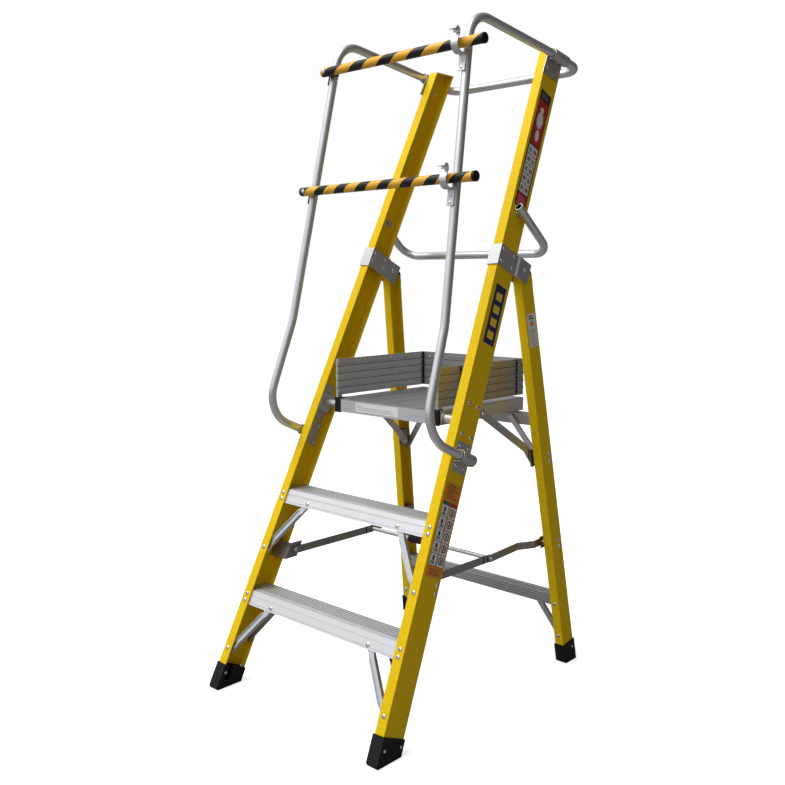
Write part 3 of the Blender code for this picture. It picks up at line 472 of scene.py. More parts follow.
# Painted light: the left board gets a lighter copy of the toe board metal, in place of light its shaded
# inner face lacks.
TOE_LEFT_PAINTED_LIGHT_METAL = toe_material("toe_board_left_painted_light_aluminium", 1, (0.72, 0.73, 0.735))
TOE_REAR_METAL = toe_material("toe_board_rear_aluminium", 0)
BRACE_METAL = metal_material("brace_aluminium", (0.68, 0.69, 0.71), 0.38, 2, 0.9, 0.08)
TUBE_METAL = metal_material("rail_tube_satin", (0.70, 0.71, 0.73), 0.33, None, 0.88, 0.05, 0.00001)
PLATE_METAL = metal_material("bracket_zinc", (0.56, 0.555, 0.55), 0.54, None, 0.92, 0.10)
STRUT_METAL = metal_material("strut_steel", (0.62, 0.60, 0.57), 0.42, None, 0.9, 0.08)
HOOK_METAL = metal_material("hook_aluminium", (0.62, 0.63, 0.66), 0.40, None, 0.85, 0.05)
LINK_METAL = metal_material("link_steel_grey", (0.36, 0.335, 0.31), 0.42, None, 0.9, 0.10)
RIVET_METAL = metal_material("rivet_steel", (0.78, 0.78, 0.80), 0.24, None, 1.0, 0.06)
# Dark metal for the rivets' mandrel pits and the tubes' bores: painted shade in these hollows.
SHADE_DARK_METAL = metal_material("mandrel_and_painted_shade_steel", (0.10, 0.10, 0.11), 0.45, None, 0.9, 0.10)
RUBBER = rubber_material("boot_rubber")
PLASTIC = rubber_material("cap_plastic", (0.005, 0.005, 0.005), 0.44)
GRIP_FOAM = rubber_material("grip_rubber", (0.014, 0.014, 0.015), 0.62)

INK_BLACK = print_material("ink_black", (0.012, 0.012, 0.012))
INK_RED = print_material("ink_red", (0.52, 0.012, 0.014))
INK_WHITE = print_material("ink_white", (0.80, 0.79, 0.75))
INK_GREY = print_material("ink_grey", (0.26, 0.26, 0.26))
INK_AMBER = print_material("ink_amber", (0.78, 0.27, 0.010))
INK_NAVY = print_material("ink_navy", (0.010, 0.012, 0.090))
INK_YELLOW = print_material("ink_yellow", (0.86, 0.62, 0.02))
INK_GREEN = print_material("ink_green", (0.01, 0.16, 0.05))


# ---------------------------------------------------------------- mesh helpers

def add_piece(name, bm, finishes, body, smooth=35.0):
    """Make a piece of a bmesh; it rides on a body and takes the finishes given."""
    bmesh.ops.recalc_face_normals(bm, faces=bm.faces)
    mesh = bpy.data.meshes.new(name)
    bm.to_mesh(mesh)
    bm.free()
    if smooth:
        mesh.shade_smooth()
        mesh.set_sharp_from_angle(angle=math.radians(smooth))
    for finish in finishes if isinstance(finishes, (list, tuple)) else [finishes]:
        mesh.materials.append(finish)
    piece = bpy.data.objects.new(name, mesh)
    bpy.context.scene.collection.objects.link(piece)
    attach(piece, body)
    return piece


def bevelled(piece, width, segments=2):
    step = piece.modifiers.new("edges", "BEVEL")
    step.width = width
    step.segments = segments
    step.limit_method = "ANGLE"
    step.angle_limit = math.radians(32)
    step.harden_normals = True
    return piece


def loft(bm, rings, closed=False, caps=True, index=0):
    rows = [[bm.verts.new(point) for point in ring] for ring in rings]
    pairs = list(zip(rows, rows[1:]))
    if closed:
        pairs.append((rows[-1], rows[0]))
    for low, high in pairs:
        for i in range(len(low)):
            j = (i + 1) % len(low)
            bm.faces.new((low[i], low[j], high[j], high[i])).material_index = index
    if caps and not closed:
        bm.faces.new(rows[0]).material_index = index
        bm.faces.new(rows[-1]).material_index = index


def loft_shell(bm, rings):
    """Join two outlines of a bent strip, and close each with quads across its thickness."""
    rows = [[bm.verts.new(point) for point in ring] for ring in rings]
    count = len(rows[0])
    for i in range(count):
        j = (i + 1) % count
        bm.faces.new((rows[0][i], rows[0][j], rows[1][j], rows[1][i]))
    for row in rows:
        for i in range(count // 2 - 1):
            bm.faces.new((row[i], row[i + 1], row[count - 2 - i], row[count - 1 - i]))


def turned_rings(origin, axis, profile, sides=28):
    """Rings of a turned shape from (distance along the axis, radius) pairs."""
    axis = axis.normalized()
    across = axis.orthogonal().normalized()
    other = axis.cross(across)
    rings = []
    for distance, radius in profile:
        ring = []
        for i in range(sides):
            angle = 2 * math.pi * i / sides
            spoke = across * math.cos(angle) + other * math.sin(angle)
            ring.append(origin + axis * distance + spoke * radius)
        rings.append(ring)
    return rings


def block(bm, centre, axes, size, index=0):
    """A box with its own axes."""
    rings = []
    for k in (-0.5, 0.5):
        ring = []
        for i, j in ((-0.5, -0.5), (0.5, -0.5), (0.5, 0.5), (-0.5, 0.5)):
            ring.append(centre + axes[0] * (i * size[0]) + axes[1] * (j * size[1])
                        + axes[2] * (k * size[2]))
        rings.append(ring)
    loft(bm, rings, index=index)


def rounded_path(corners, radii, steps=14):
    points = [corners[0]]
    for before, corner, after, radius in zip(corners, corners[1:], corners[2:], radii):
        into = (corner - before).normalized()
        out = (after - corner).normalized()
        turn = into.angle(out)
        start = corner - into * radius * math.tan(turn / 2)
        inward = (out - into * into.dot(out)).normalized()
        centre = start + inward * radius
        for i in range(steps + 1):
            angle = turn * i / steps
            points.append(centre - inward * radius * math.cos(angle)
                          + into * radius * math.sin(angle))
    points.append(corners[-1])
    return points


def tube_rings(points, radius, sides=36):
    rings = []
    across = (points[1] - points[0]).orthogonal()
    for i, point in enumerate(points):
        into = (point - points[max(i - 1, 0)]).normalized()
        out = (points[min(i + 1, len(points) - 1)] - point).normalized()
        run = (into + out).normalized()
        across = (across - run * across.dot(run)).normalized()
        other = run.cross(across)
        ring = []
        for step in range(sides):
            angle = 2 * math.pi * step / sides
            ring.append(point + (across * math.cos(angle) + other * math.sin(angle)) * radius)
        rings.append(ring)
    return rings


def scaled_ring(ring, centre, share):
    return [centre + (point - centre) * share for point in ring]


def hollow_tube(name, points, radius, node):
    """A bent tube with its wall showing at both ends, in place of a CAD rail; its bore and a disc closing it
    are dark, painted shade.
    """
    rings = tube_rings(points, radius)
    share = (radius - TUBE_WALL) / radius
    edge = 1.0 - 0.0005 / radius
    bm = bmesh.new()
    for end, after in ((0, 1), (-1, -2)):
        centre = points[end]
        inward = (points[after] - centre).normalized()
        outer = rings[end]
        softened = [point + inward * 0.0005 for point in outer]
        lip = scaled_ring(outer, centre, edge)
        mouth = scaled_ring(outer, centre, share)
        floor = [point + inward * 0.028 for point in mouth]
        if end == 0:
            first = [mouth, lip, softened]
        else:
            last = [softened, lip, mouth]
        shade = scaled_ring(outer, centre, share - 0.0002 / radius)
        # Painted shade: the bore and a closing disc 28 mm in take the dark metal.
        loft(bm, [[point + inward * 0.0010 for point in shade], floor], caps=False, index=1)
        bm.faces.new([bm.verts.new(point) for point in floor]).material_index = 1
    loft(bm, first + rings[1:-1] + last, caps=False)
    bmesh.ops.remove_doubles(bm, verts=bm.verts, dist=0.00001)
    piece = add_piece(name, bm, [TUBE_METAL, SHADE_DARK_METAL], "front_frame")
    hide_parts(node)
    return piece


# ---------------------------------------------------------------- fixings

def rivet_profile(radius):
    """Domed blind rivet with the stub of its mandrel in a small pit."""
    rise = radius * 0.46
    return [(-0.0004, radius), (rise * 0.18, radius), (rise * 0.50, radius * 0.90),
            (rise * 0.82, radius * 0.66), (rise, radius * 0.40), (rise, radius * 0.32),
            (rise * 0.62, radius * 0.27), (rise * 0.60, 0.0002)]


def washer_bolt_profile(radius):
    """Pan head on a washer."""
    return [(-0.0004, radius), (0.0009, radius), (0.0013, radius * 0.95), (0.0013, radius * 0.70),
            (0.0026, radius * 0.68), (0.0038, radius * 0.52), (0.0042, radius * 0.30),
            (0.0040, 0.0002)]


def add_fixings(name, spots, profile, body, pit=True, sides=22):
    """One piece that holds all the rivets or bolts of a group; spots are (place, normal)."""
    bm = bmesh.new()
    for place, normal in spots:
        rings = turned_rings(place, normal, profile, sides)
        loft(bm, rings[:-2] if pit else rings, caps=not pit)
        if pit:
            # The pit and mandrel stub take the dark metal, painted shade in the pit.
            loft(bm, rings[-3:], caps=False, index=1)
    return add_piece(name, bm, [RIVET_METAL, SHADE_DARK_METAL], body)


def add_front_stile_rivets():
    for word, side in SIDES.items():
        out, rear, _ = front_axes(side)
        heights = (0.476, 0.461, 0.226, 0.210, 0.340, 0.0945)
        spots = [(front_spot(side, 0.0, 0.0, z), -rear) for z in heights]
        add_fixings("face_rivets_" + word, spots, rivet_profile(0.0058), "front_frame")
        spots = [(front_spot(side, 0.0, FRONT_DEPTH, z), rear) for z in (0.476, 0.461, 0.226, 0.210)]
        add_fixings("rear_flange_rivets_" + word, spots, rivet_profile(0.0055), "front_frame")
        spots = [(web_spot(side, s, n), out) for s in (0.832, 0.756) for n in (0.0235, 0.058)]
        spots += [(web_spot(side, s, 0.063), out) for s in (0.4064, 0.3862)]
        add_fixings("web_rivets_" + word, spots, rivet_profile(0.0056), "front_frame")


def add_tread_rivets():
    for word, x, z in (("upper", 0.156, 0.460), ("lower", 0.171, 0.2095)):
        spots = []
        for side in SIDES.values():
            _, rear, _ = stile_axes(side, FRONT_LEAN, 0.0)
            spots.append((at(side * x, front_y(z) + TREAD_NOSE, z), -rear))
        add_fixings("skirt_rivets_" + word, spots, rivet_profile(0.0060), "front_frame")


def add_bracket_rivets():
    for word, side in SIDES.items():
        out, _, _ = front_axes(side)
        plate = 0.0032
        spots = [(web_spot(side, s, n, plate), out) for s in (1.196, 1.2265) for n in (0.0125, 0.0585)]
        add_fixings("hinge_bracket_rivets_" + word, spots, rivet_profile(0.0050), "front_frame")
        spots = [(web_spot(side, s, n, -FRONT_WIDTH - plate), -out)
                 for s in (1.1995, 1.2230) for n in (0.0130, 0.0580)]
        add_fixings("hinge_bracket_inner_rivets_" + word, spots, rivet_profile(0.0044), "front_frame")
        spots = [(web_spot(side, s, n, CLAMP_PLATE), out)
                 for s in (0.7266, 0.6808) for n in (0.0235, 0.0555)]
        add_fixings("clamp_rivets_" + word, spots, rivet_profile(0.0048), "front_frame")


def add_top_bracket_rivets():
    for word, side in SIDES.items():
        out, _, _ = front_axes(side)
        spots = []
        for y, z in ((0.7365, 1.5740), (0.7760, 1.5935), (0.7815, 1.5690)):
            x = front_x(z) + FRONT_WIDTH / 2 + TOP_PLATE
            spots.append((at(side * x, y, z), out))
        add_fixings("top_bracket_rivets_" + word, spots, rivet_profile(0.0040), "front_frame")


def add_rear_stile_rivets():
    for word, side in SIDES.items():
        out, rear, _ = rear_axes(side)
        spots = [(rear_spot(side, REAR_WIDTH / 2, 0.037, z), out)
                 for z in (0.5798, 0.5593, 0.3435, 0.3235)]
        spots += [(rear_spot(side, 0.0, 0.0, z), -rear) for z in (0.164, 0.072)]
        spots += [(rear_spot(side, 0.0, REAR_DEPTH, z), rear) for z in (0.167, 0.076, 0.670)]
        add_fixings("rear_stile_rivets_" + word, spots, rivet_profile(0.0055), "rear_frame")


def add_boot_rivets():
    for word, side in SIDES.items():
        out, _, _ = front_axes(side)
        spots = [(front_spot(side, FRONT_WIDTH / 2 + 0.0027, v, z), out)
                 for v, z in ((0.0121, 0.0285), (0.0690, 0.0180))]
        spots += [(front_spot(side, -FRONT_WIDTH / 2 - 0.0027, v, z), -out)
                  for v, z in ((0.0100, 0.036), (0.0565, 0.0405))]
        add_fixings("front_boot_rivets_" + word, spots, rivet_profile(0.0040), "front_frame")
        out, _, _ = rear_axes(side)
        spots = [(rear_spot(side, REAR_WIDTH / 2 + 0.0027, 0.038, 0.034), out)]
        add_fixings("rear_boot_rivet_" + word, spots, rivet_profile(0.0036), "rear_frame")


def add_mid_rail_fixings():
    """Spacer outside each front stile, and bolt and washer inside it."""
    for word, side in SIDES.items():
        out, _, _ = front_axes(side)
        y, z = (0.588, 1.1985) if side == 1 else (0.5975, 1.1905)
        outer = at(side * (front_x(z) + FRONT_WIDTH / 2), y, z)
        bm = bmesh.new()
        loft(bm, turned_rings(outer, out, [(0.0002, 0.0088), (0.0058, 0.0088), (0.0064, 0.0080)]))
        add_piece("mid_rail_spacer_" + word, bm, PLATE_METAL, "front_frame")
        inner = outer - out * FRONT_WEB
        bm = bmesh.new()
        loft(bm, turned_rings(inner, -out, [(-0.0004, 0.0125), (0.0010, 0.0125), (0.0015, 0.0119)]))
        loft(bm, turned_rings(inner, -out, [(0.0012, 0.0060), (0.0052, 0.0060), (0.0060, 0.0050)], 6))
        add_piece("mid_rail_bolt_" + word, bm, PLATE_METAL, "front_frame", 30.0)
        small = at(side * (front_x(1.5655) + FRONT_WIDTH / 2 - FRONT_WEB), 0.770, 1.5655)
        add_fixings("rail_bolt_" + word, [(small, -out)], washer_bolt_profile(0.0055), "front_frame",
                    pit=False)


# ---------------------------------------------------------------- rails and gates

def rail_loop(right, left):
    """Corners of a rail that goes round the back, from (y, z) places at each end."""
    corners = [rail_corner(1, y, z) for y, z in right]
    return corners + [rail_corner(-1, y, z) for y, z in left[::-1]]


def rail_corner(side, y, z):
    return at(side * rail_x(z), y, z)


def add_rails():
    view = [(0.350, 0.613), (0.1825, 0.6885), (0.2684, 0.930), (0.4075, 1.648),
            (RAIL_JOINT_Y, top_rail_z(RAIL_JOINT_Y))]
    for word, side in SIDES.items():
        corners = [rail_corner(side, y, z) for y, z in view]
        hollow_tube("rail_tube_" + word, rounded_path(corners, (0.088, 0.20, 0.070)),
                    TUBE_RADIUS, "handrail_" + word)
    guard = [(y, top_rail_z(y)) for y in (RAIL_JOINT_Y + 0.0012, 0.872)]
    hollow_tube("guard_tube", rounded_path(rail_loop(guard, guard), (0.040, 0.040)), GUARD_RADIUS,
                "rear_guard_rail")
    corners = rail_loop([(0.572, 1.2123), (0.705, 1.1005)], [(0.588, 1.1989), (0.705, 1.1005)])
    hollow_tube("mid_tube", rounded_path(corners, (0.045, 0.045)), TUBE_RADIUS, "mid_rail")


def add_gate_bars():
    for word, (z, past_pin, past_hook, pitch, phase) in BARS.items():
        half = rail_x(z)
        start = at(-half - past_pin, gate_y(z), z)
        length = 2 * half + past_pin + past_hook
        finish = tape_material("hazard_tape_" + word, start, pitch, phase)
        profile = [(0.0, BAR_RADIUS - 0.0022), (0.0008, BAR_RADIUS - 0.0008), (0.0026, BAR_RADIUS),
                   (length - 0.007, BAR_RADIUS)]
        bm = bmesh.new()
        steps = 40
        body = [(0.0026 + (length - 0.0096) * i / steps, BAR_RADIUS) for i in range(1, steps)]
        loft(bm, turned_rings(start, X_AXIS, profile[:3] + body + profile[3:], 36))
        bar = add_piece("taped_bar_" + word, bm, finish, "gate_" + word)
        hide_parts("gate_bar_" + word)
        bm = bmesh.new()
        cap = [(length - 0.0085, BAR_RADIUS - 0.001), (length - 0.0080, BAR_RADIUS + 0.0007),
               (length - 0.0014, BAR_RADIUS + 0.0007), (length - 0.0003, BAR_RADIUS - 0.0003),
               (length, BAR_RADIUS - 0.0020), (length - 0.0012, BAR_RADIUS - 0.0034),
               (length - 0.0012, 0.0002)]
        loft(bm, turned_rings(start, X_AXIS, cap, 36))
        add_piece("bar_cap_" + word, bm, PLASTIC, "gate_" + word)
        add_gate_clip(word, z)
        spots = []
        for drop in (0.038, 0.053):
            y = handrail_y(z - drop) - TUBE_RADIUS - 0.0037
            spots.append((at(half, y, z - drop), Vector((0.0, -1.0, 0.19))))
        add_fixings("hook_rivets_" + word, spots, rivet_profile(0.0042), "front_frame")


def add_gate_clip(word, z):
    """Black collar round the handrail behind a bar's pivot, with a tab below on its outside."""
    centre = at(-rail_x(z), handrail_y(z), z)
    run = Vector((FRONT_TAPER, 0.193, 1.0)).normalized()
    bm = bmesh.new()
    inner, outer = TUBE_RADIUS + 0.0002, TUBE_RADIUS + 0.0030
    rings = []
    for i in range(33):
        angle = math.radians(-200 + 220 * i / 32)
        spoke = Vector((math.cos(angle), math.sin(angle), 0.0))
        rings.append([centre + spoke * inner - run * 0.009, centre + spoke * outer - run * 0.009,
                      centre + spoke * outer + run * 0.009, centre + spoke * inner + run * 0.009])
    loft(bm, rings)
    block(bm, centre + Vector((-outer - 0.0012, -0.0028, -0.0175)), (X_AXIS, Y_AXIS, run),
          (0.0050, 0.0110, 0.0230))
    bevelled(add_piece("bar_clip_" + word, bm, PLASTIC, "front_frame"), 0.0006)


# ---------------------------------------------------------------- platform details

def add_corner_caps():
    """Black cap over each front corner of the deck, and the end plate that holds the tube."""
    axes = (X_AXIS, Y_AXIS, Vector((0.0, 0.0, 1.0)))
    for word, side in SIDES.items():
        bm = bmesh.new()
        middle = PLATFORM_HALF - 0.0085
        face = at(side * middle, PLATFORM_FRONT + 0.0016, PLATFORM_TOP - 0.0175)
        block(bm, face, axes, (0.0210, 0.0062, 0.0390))
        lip = at(side * middle, PLATFORM_FRONT + 0.0085, PLATFORM_TOP + 0.0009)
        block(bm, lip, axes, (0.0210, 0.0170, 0.0026))
        bevelled(add_piece("corner_cap_" + word, bm, PLASTIC, "platform"), 0.0010, 3)
        x = PLATFORM_HALF + 0.0028
        plate = at(side * x, PLATFORM_FRONT + 0.0262, PLATFORM_TOP - 0.0175)
        bm = bmesh.new()
        block(bm, plate, axes, (0.0050, 0.0420, 0.0350))
        start = Vector((side * (x + 0.0022), PIVOT.y, PIVOT.z))
        loft(bm, turned_rings(start, X_AXIS * side, [(0.0, 0.0152), (0.0030, 0.0152),
                                                     (0.0040, 0.0142), (0.0040, 0.0116)], 32))
        bevelled(add_piece("pivot_plate_" + word, bm, PLATE_METAL, "platform"), 0.0008)
    reach = front_x(0.704) + FRONT_WIDTH / 2 - FRONT_WEB - 0.0015
    bm = bmesh.new()
    profile = [(0.0, 0.0104), (0.0006, 0.0110), (2 * reach - 0.0006, 0.0110), (2 * reach, 0.0104)]
    loft(bm, turned_rings(Vector((-reach, PIVOT.y, PIVOT.z)), X_AXIS, profile, 36))
    tube = add_piece("pivot_tube", bm, TUBE_METAL, "platform")
    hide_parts("platform_pivot_tube")


def add_toe_details():
    """Rivets through the toe boards and the black joint strips in their rear corners."""
    for word, side in SIDES.items():
        inner = PLATFORM_HALF - 0.0034
        spots = [(at(side * (inner - 0.0040), PLATFORM_FRONT + 0.009, z), -X_AXIS * side)
                 for z in (0.740, 0.817)]
        spots += [(at(side * inner, y, z), -X_AXIS * side)
                  for y in (PLATFORM_REAR - 0.022,) for z in (0.745, 0.811)]
        spots += [(at(side * inner, y, 0.818), -X_AXIS * side) for y in (0.455, 0.560)]
        add_fixings("toe_rivets_" + word, spots, rivet_profile(0.0038), "platform")
        outer = [(at(side * PLATFORM_HALF, y, z), X_AXIS * side)
                 for y, z in ((0.455, 0.818), (0.560, 0.818), (0.6765, 0.745), (0.6765, 0.811))]
        add_fixings("toe_outer_rivets_" + word, outer, rivet_profile(0.0038), "platform")
        bm = bmesh.new()
        up = Vector((0.0, 0.0, 1.0))
        for k in range(5):
            z = 0.7395 + 0.0185 * k
            place = at(side * (inner - 0.0016), PLATFORM_REAR - 0.0062, z)
            loft(bm, turned_rings(place - up * 0.0078, up,
                                  [(0.0, 0.0018), (0.0006, 0.0024), (0.0150, 0.0024), (0.0156, 0.0018)], 14))
        strip = at(side * (inner - 0.0008), PLATFORM_REAR - 0.0048, TOE_MIDDLE)
        block(bm, strip, (X_AXIS, Y_AXIS, up), (0.0016, 0.0030, TOE_STRIP))
        for y in (0.430, 0.666):
            seam = at(side * (PLATFORM_HALF + 0.0003), y, TOE_MIDDLE)
            block(bm, seam, (X_AXIS, Y_AXIS, up), (0.0016, 0.0022, TOE_STRIP))
            for k in range(5):
                place = seam + up * (0.0185 * (k - 2)) + Y_AXIS * 0.0020
                block(bm, place, (X_AXIS, Y_AXIS, up), (0.0018, 0.0040, 0.0050))
        add_piece("toe_corner_strip_" + word, bm, PLASTIC, "platform")
    spots = [(at(x, PLATFORM_REAR - 0.0034, z), -Y_AXIS)
             for x in (-0.150, 0.150) for z in (0.745, 0.811)]
    add_fixings("toe_rear_rivets", spots, rivet_profile(0.0038), "platform")


def add_stile_details():
    """Backing plates in the front stiles, plugs in the rear ones."""
    for word, side in SIDES.items():
        out, rear, up = front_axes(side)
        middle = web_spot(side, 0.7035, 0.0395) - out * (FRONT_WEB + 0.0012)
        bm = bmesh.new()
        block(bm, middle, (out, rear, up), (0.0016, 0.0440, 0.0660))
        bevelled(add_piece("backing_plate_" + word, bm, PLATE_METAL, "front_frame"), 0.0004)
        spots = [(web_spot(side, s, n) - out * (FRONT_WEB + 0.0020), -out)
                 for s in (0.7266, 0.6808) for n in (0.0235, 0.0555)]
        add_fixings("backing_rivets_" + word, spots, rivet_profile(0.0040), "front_frame")
        bm = bmesh.new()
        top = [front_spot(side, u, v, FRONT_TOP - 0.0004) for u, v in
               ((-0.0133, 0.0048), (0.0094, 0.0048), (0.0094, 0.0704), (-0.0133, 0.0704))]
        loft(bm, [top, [point - up * 0.0020 for point in top]])
        add_piece("stile_top_" + word, bm, FRONT_GLASS, "front_frame")
        add_rear_plug(word, side)


def add_rear_plug(word, side):
    """Black cap over the sloped top of a rear stile."""
    half = REAR_WIDTH / 2 - 0.0003
    profile = [(-0.0008, 1.0640), (-0.0008, 1.0730), (0.0060, 1.0748), (0.0255, 1.0748),
               (0.0310, 1.0725), (REAR_DEPTH + 0.0008, 1.0510), (REAR_DEPTH + 0.0008, 1.0210)]
    inner = [(REAR_DEPTH + 0.0001, 1.0210), (REAR_DEPTH + 0.0001, 1.0500), (0.0305, 1.0716),
             (0.0250, 1.0738), (0.0062, 1.0738), (-0.0001, 1.0722), (-0.0001, 1.0640)]
    rings = [[rear_spot(side, u, v, z) for v, z in profile + inner] for u in (-half, half)]
    bm = bmesh.new()
    loft_shell(bm, rings)
    bevelled(add_piece("stile_plug_" + word, bm, PLASTIC, "rear_frame"), 0.0004)


def strip_outline(path, thickness):
    points = [Vector(point) for point in path]
    left = []
    right = []
    for i, point in enumerate(points):
        before = points[max(i - 1, 0)]
        after = points[min(i + 1, len(points) - 1)]
        into = (point - before).normalized() if i else (after - point).normalized()
        out = (after - point).normalized() if i < len(points) - 1 else into
        tangent = (into + out).normalized()
        reach = thickness / 2 / max(tangent.dot(out), 0.5)
        normal = Vector((-tangent.y, tangent.x)) * reach
        left.append(point + normal)
        right.append(point - normal)
    return left + right[::-1]


def add_rear_tread_braces():
    """Second pair of braces, from the lower tread's rear skirt to the rear flanges."""
    for word, side in SIDES.items():
        _, rear, _ = front_axes(side)
        low = front_spot(side, -0.0040, FRONT_DEPTH - 0.0100, 0.1000)
        high = front_spot(side, -0.0800, FRONT_DEPTH - 0.0135, 0.2060)
        run = (high - low).normalized()
        across = run.cross(rear).normalized()
        path = [(-0.0072, -0.0060), (-0.0072, 0.0008), (0.0072, 0.0008), (0.0072, -0.0060)]
        outline = strip_outline(path, 0.0015)
        ring = [low - run * 0.006 + across * u + rear * v for u, v in outline]
        bm = bmesh.new()
        loft(bm, [ring, [point + high - low + run * 0.010 for point in ring]])
        bevelled(add_piece("tread_rear_brace_" + word, bm, LINK_METAL, "front_frame"),
                 0.0004)


def add_brace_edges():
    """Raised edges of the middle part of each brace under the treads."""
    _, rear, _ = stile_axes(1, FRONT_LEAN, 0.0)
    for word, side in SIDES.items():
        for level, top in TREAD_TOPS.items():
            low = front_spot(side, -0.004, 0.0, top - 0.143) + rear * BRACE_INSET
            high = front_spot(side, -0.092, 0.0, top - 0.026) + rear * BRACE_INSET
            run = high - low
            across = run.cross(rear).normalized()
            bm = bmesh.new()
            for edge in (-0.0072, 0.0072):
                rings = []
                for share, rise in ((0.14, 0.0002), (0.20, 0.0036), (0.82, 0.0036), (0.88, 0.0002)):
                    foot = low + run * share + across * edge
                    rings.append([foot - across * 0.0008 - rear * rise, foot + across * 0.0008 - rear * rise,
                                  foot + across * 0.0008 + rear * 0.0004,
                                  foot - across * 0.0008 + rear * 0.0004])
                loft(bm, rings)
            bevelled(add_piece("brace_edges_" + level + "_" + word, bm, BRACE_METAL, "front_frame"), 0.0003)


def add_tread_ridges():
    """Fine raised lines along the front skirts."""
    _, rear, up = stile_axes(1, FRONT_LEAN, 0.0)
    for word, top in TREAD_TOPS.items():
        half = front_x(top) + FRONT_WIDTH / 2 - FRONT_WEB - 0.0012
        bm = bmesh.new()
        for drop, wide in ((0.0110, 0.0011), (0.0135, 0.0009), (0.0300, 0.0012)):
            z = top - drop
            middle = at(0.0, front_y(z) + TREAD_NOSE - 0.0001, z)
            block(bm, middle, (X_AXIS, rear, up), (2 * half, 0.0011, wide))
        ridges = add_piece("skirt_ridges_" + word, bm, TREAD_METALS[word], "front_frame")
        bevelled(ridges, 0.0003)


# ---------------------------------------------------------------- folding links' fixings

def spreader_places():
    lean = math.atan(FRONT_LEAN)
    along, deep = 0.3906, 0.0624
    front = Vector((0.0, 0.0040 + along * math.sin(lean) + deep * math.cos(lean),
                    along * math.cos(lean) - deep * math.sin(lean)))
    rear = Vector((0.0, rear_y(0.335) + 0.0105, 0.335))
    return front + SHIFT, rear + SHIFT


def node_centre(name):
    low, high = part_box(name)
    return (low + high) / 2


def add_link_pins():
    """Pins with domed heads where the folding links turn."""
    front, rear = spreader_places()
    rod = node_centre("spreader_rod")
    pins = []
    for word, side in SIDES.items():
        out = X_AXIS * side
        pins.append(("spreader_front_pin_" + word, "spreader_front", front + out * LINK_OUT, out, 0.0095))
        pins.append(("spreader_rear_pin_" + word, "rear_frame", rear + out * 0.2346, out, 0.0088))
        pins.append(("spreader_joint_pin_" + word, "spreader_front", rod + out * LINK_OUT, out, 0.0085))
        end = at(side * 0.2255, 0.674, 0.5575)
        pins.append(("strut_end_pin_" + word, "rear_frame", end, out, 0.0090))
        top_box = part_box("platform_strut_" + word)
        top = Vector((side * 0.1890, top_box[0].y + 0.0105, 0.700 + SHIFT.z))
        pins.append(("strut_top_pin_" + word, "platform", top - out * 0.0100, out, 0.0165))
    for name, body, place, out, length in pins:
        radius = 0.0052
        profile = [(-0.0024, 0.0002), (-0.0024, radius * 0.55), (-0.0014, radius * 0.92),
                   (0.0, radius), (0.0, 0.0030), (length, 0.0030), (length, radius),
                   (length + 0.0014, radius * 0.92), (length + 0.0024, radius * 0.55),
                   (length + 0.0024, 0.0002)]
        bm = bmesh.new()
        loft(bm, turned_rings(place, out, profile, 20))
        add_piece(name, bm, RIVET_METAL, body)


def add_link_collars():
    """Black collars on the front links, just before the joint with the rear links."""
    front, _ = spreader_places()
    rod = node_centre("spreader_rod")
    run = Vector((0.0, front.y - rod.y, front.z - rod.z)).normalized()
    for word in SIDES:
        low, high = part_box("spreader_front_link_" + word)
        place = Vector(((low.x + high.x) / 2, rod.y, rod.z)) + run * 0.026
        bm = bmesh.new()
        block(bm, place, (X_AXIS, run, X_AXIS.cross(run)), (high.x - low.x + 0.0012, 0.0034, 0.0206))
        bevelled(add_piece("link_collar_" + word, bm, PLASTIC, "spreader_front"), 0.0004)


def add_spreader_bar():
    """Finer rod and ribbed grip in place of the plain ones."""
    rod = node_centre("spreader_rod")
    half = (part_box("spreader_rod")[1].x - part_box("spreader_rod")[0].x) / 2
    bm = bmesh.new()
    profile = [(0.0, 0.0050), (0.0005, 0.0055), (2 * half - 0.0005, 0.0055), (2 * half, 0.0050)]
    loft(bm, turned_rings(rod - X_AXIS * half, X_AXIS, profile, 28))
    piece = add_piece("cross_rod", bm, TUBE_METAL, "spreader_front")
    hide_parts("spreader_rod")
    grip_half = 0.065
    profile = [(0.0, 0.0060), (0.0, 0.0080), (0.0015, 0.0098), (0.0040, 0.0106)]
    count = 26
    for i in range(count):
        x = 0.0060 + (2 * grip_half - 0.0120) * i / count
        pitch = (2 * grip_half - 0.0120) / count
        profile += [(x, 0.0106), (x + pitch * 0.55, 0.0106), (x + pitch * 0.66, 0.0099),
                    (x + pitch * 0.90, 0.0099)]
    profile += [(2 * grip_half - 0.0060, 0.0106), (2 * grip_half - 0.0015, 0.0098),
                (2 * grip_half, 0.0080), (2 * grip_half, 0.0060)]
    bm = bmesh.new()
    loft(bm, turned_rings(rod - X_AXIS * grip_half, X_AXIS, profile, 32), closed=True)
    piece = add_piece("hand_grip", bm, GRIP_FOAM, "spreader_front")
    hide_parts("spreader_grip")


# ---------------------------------------------------------------- labels

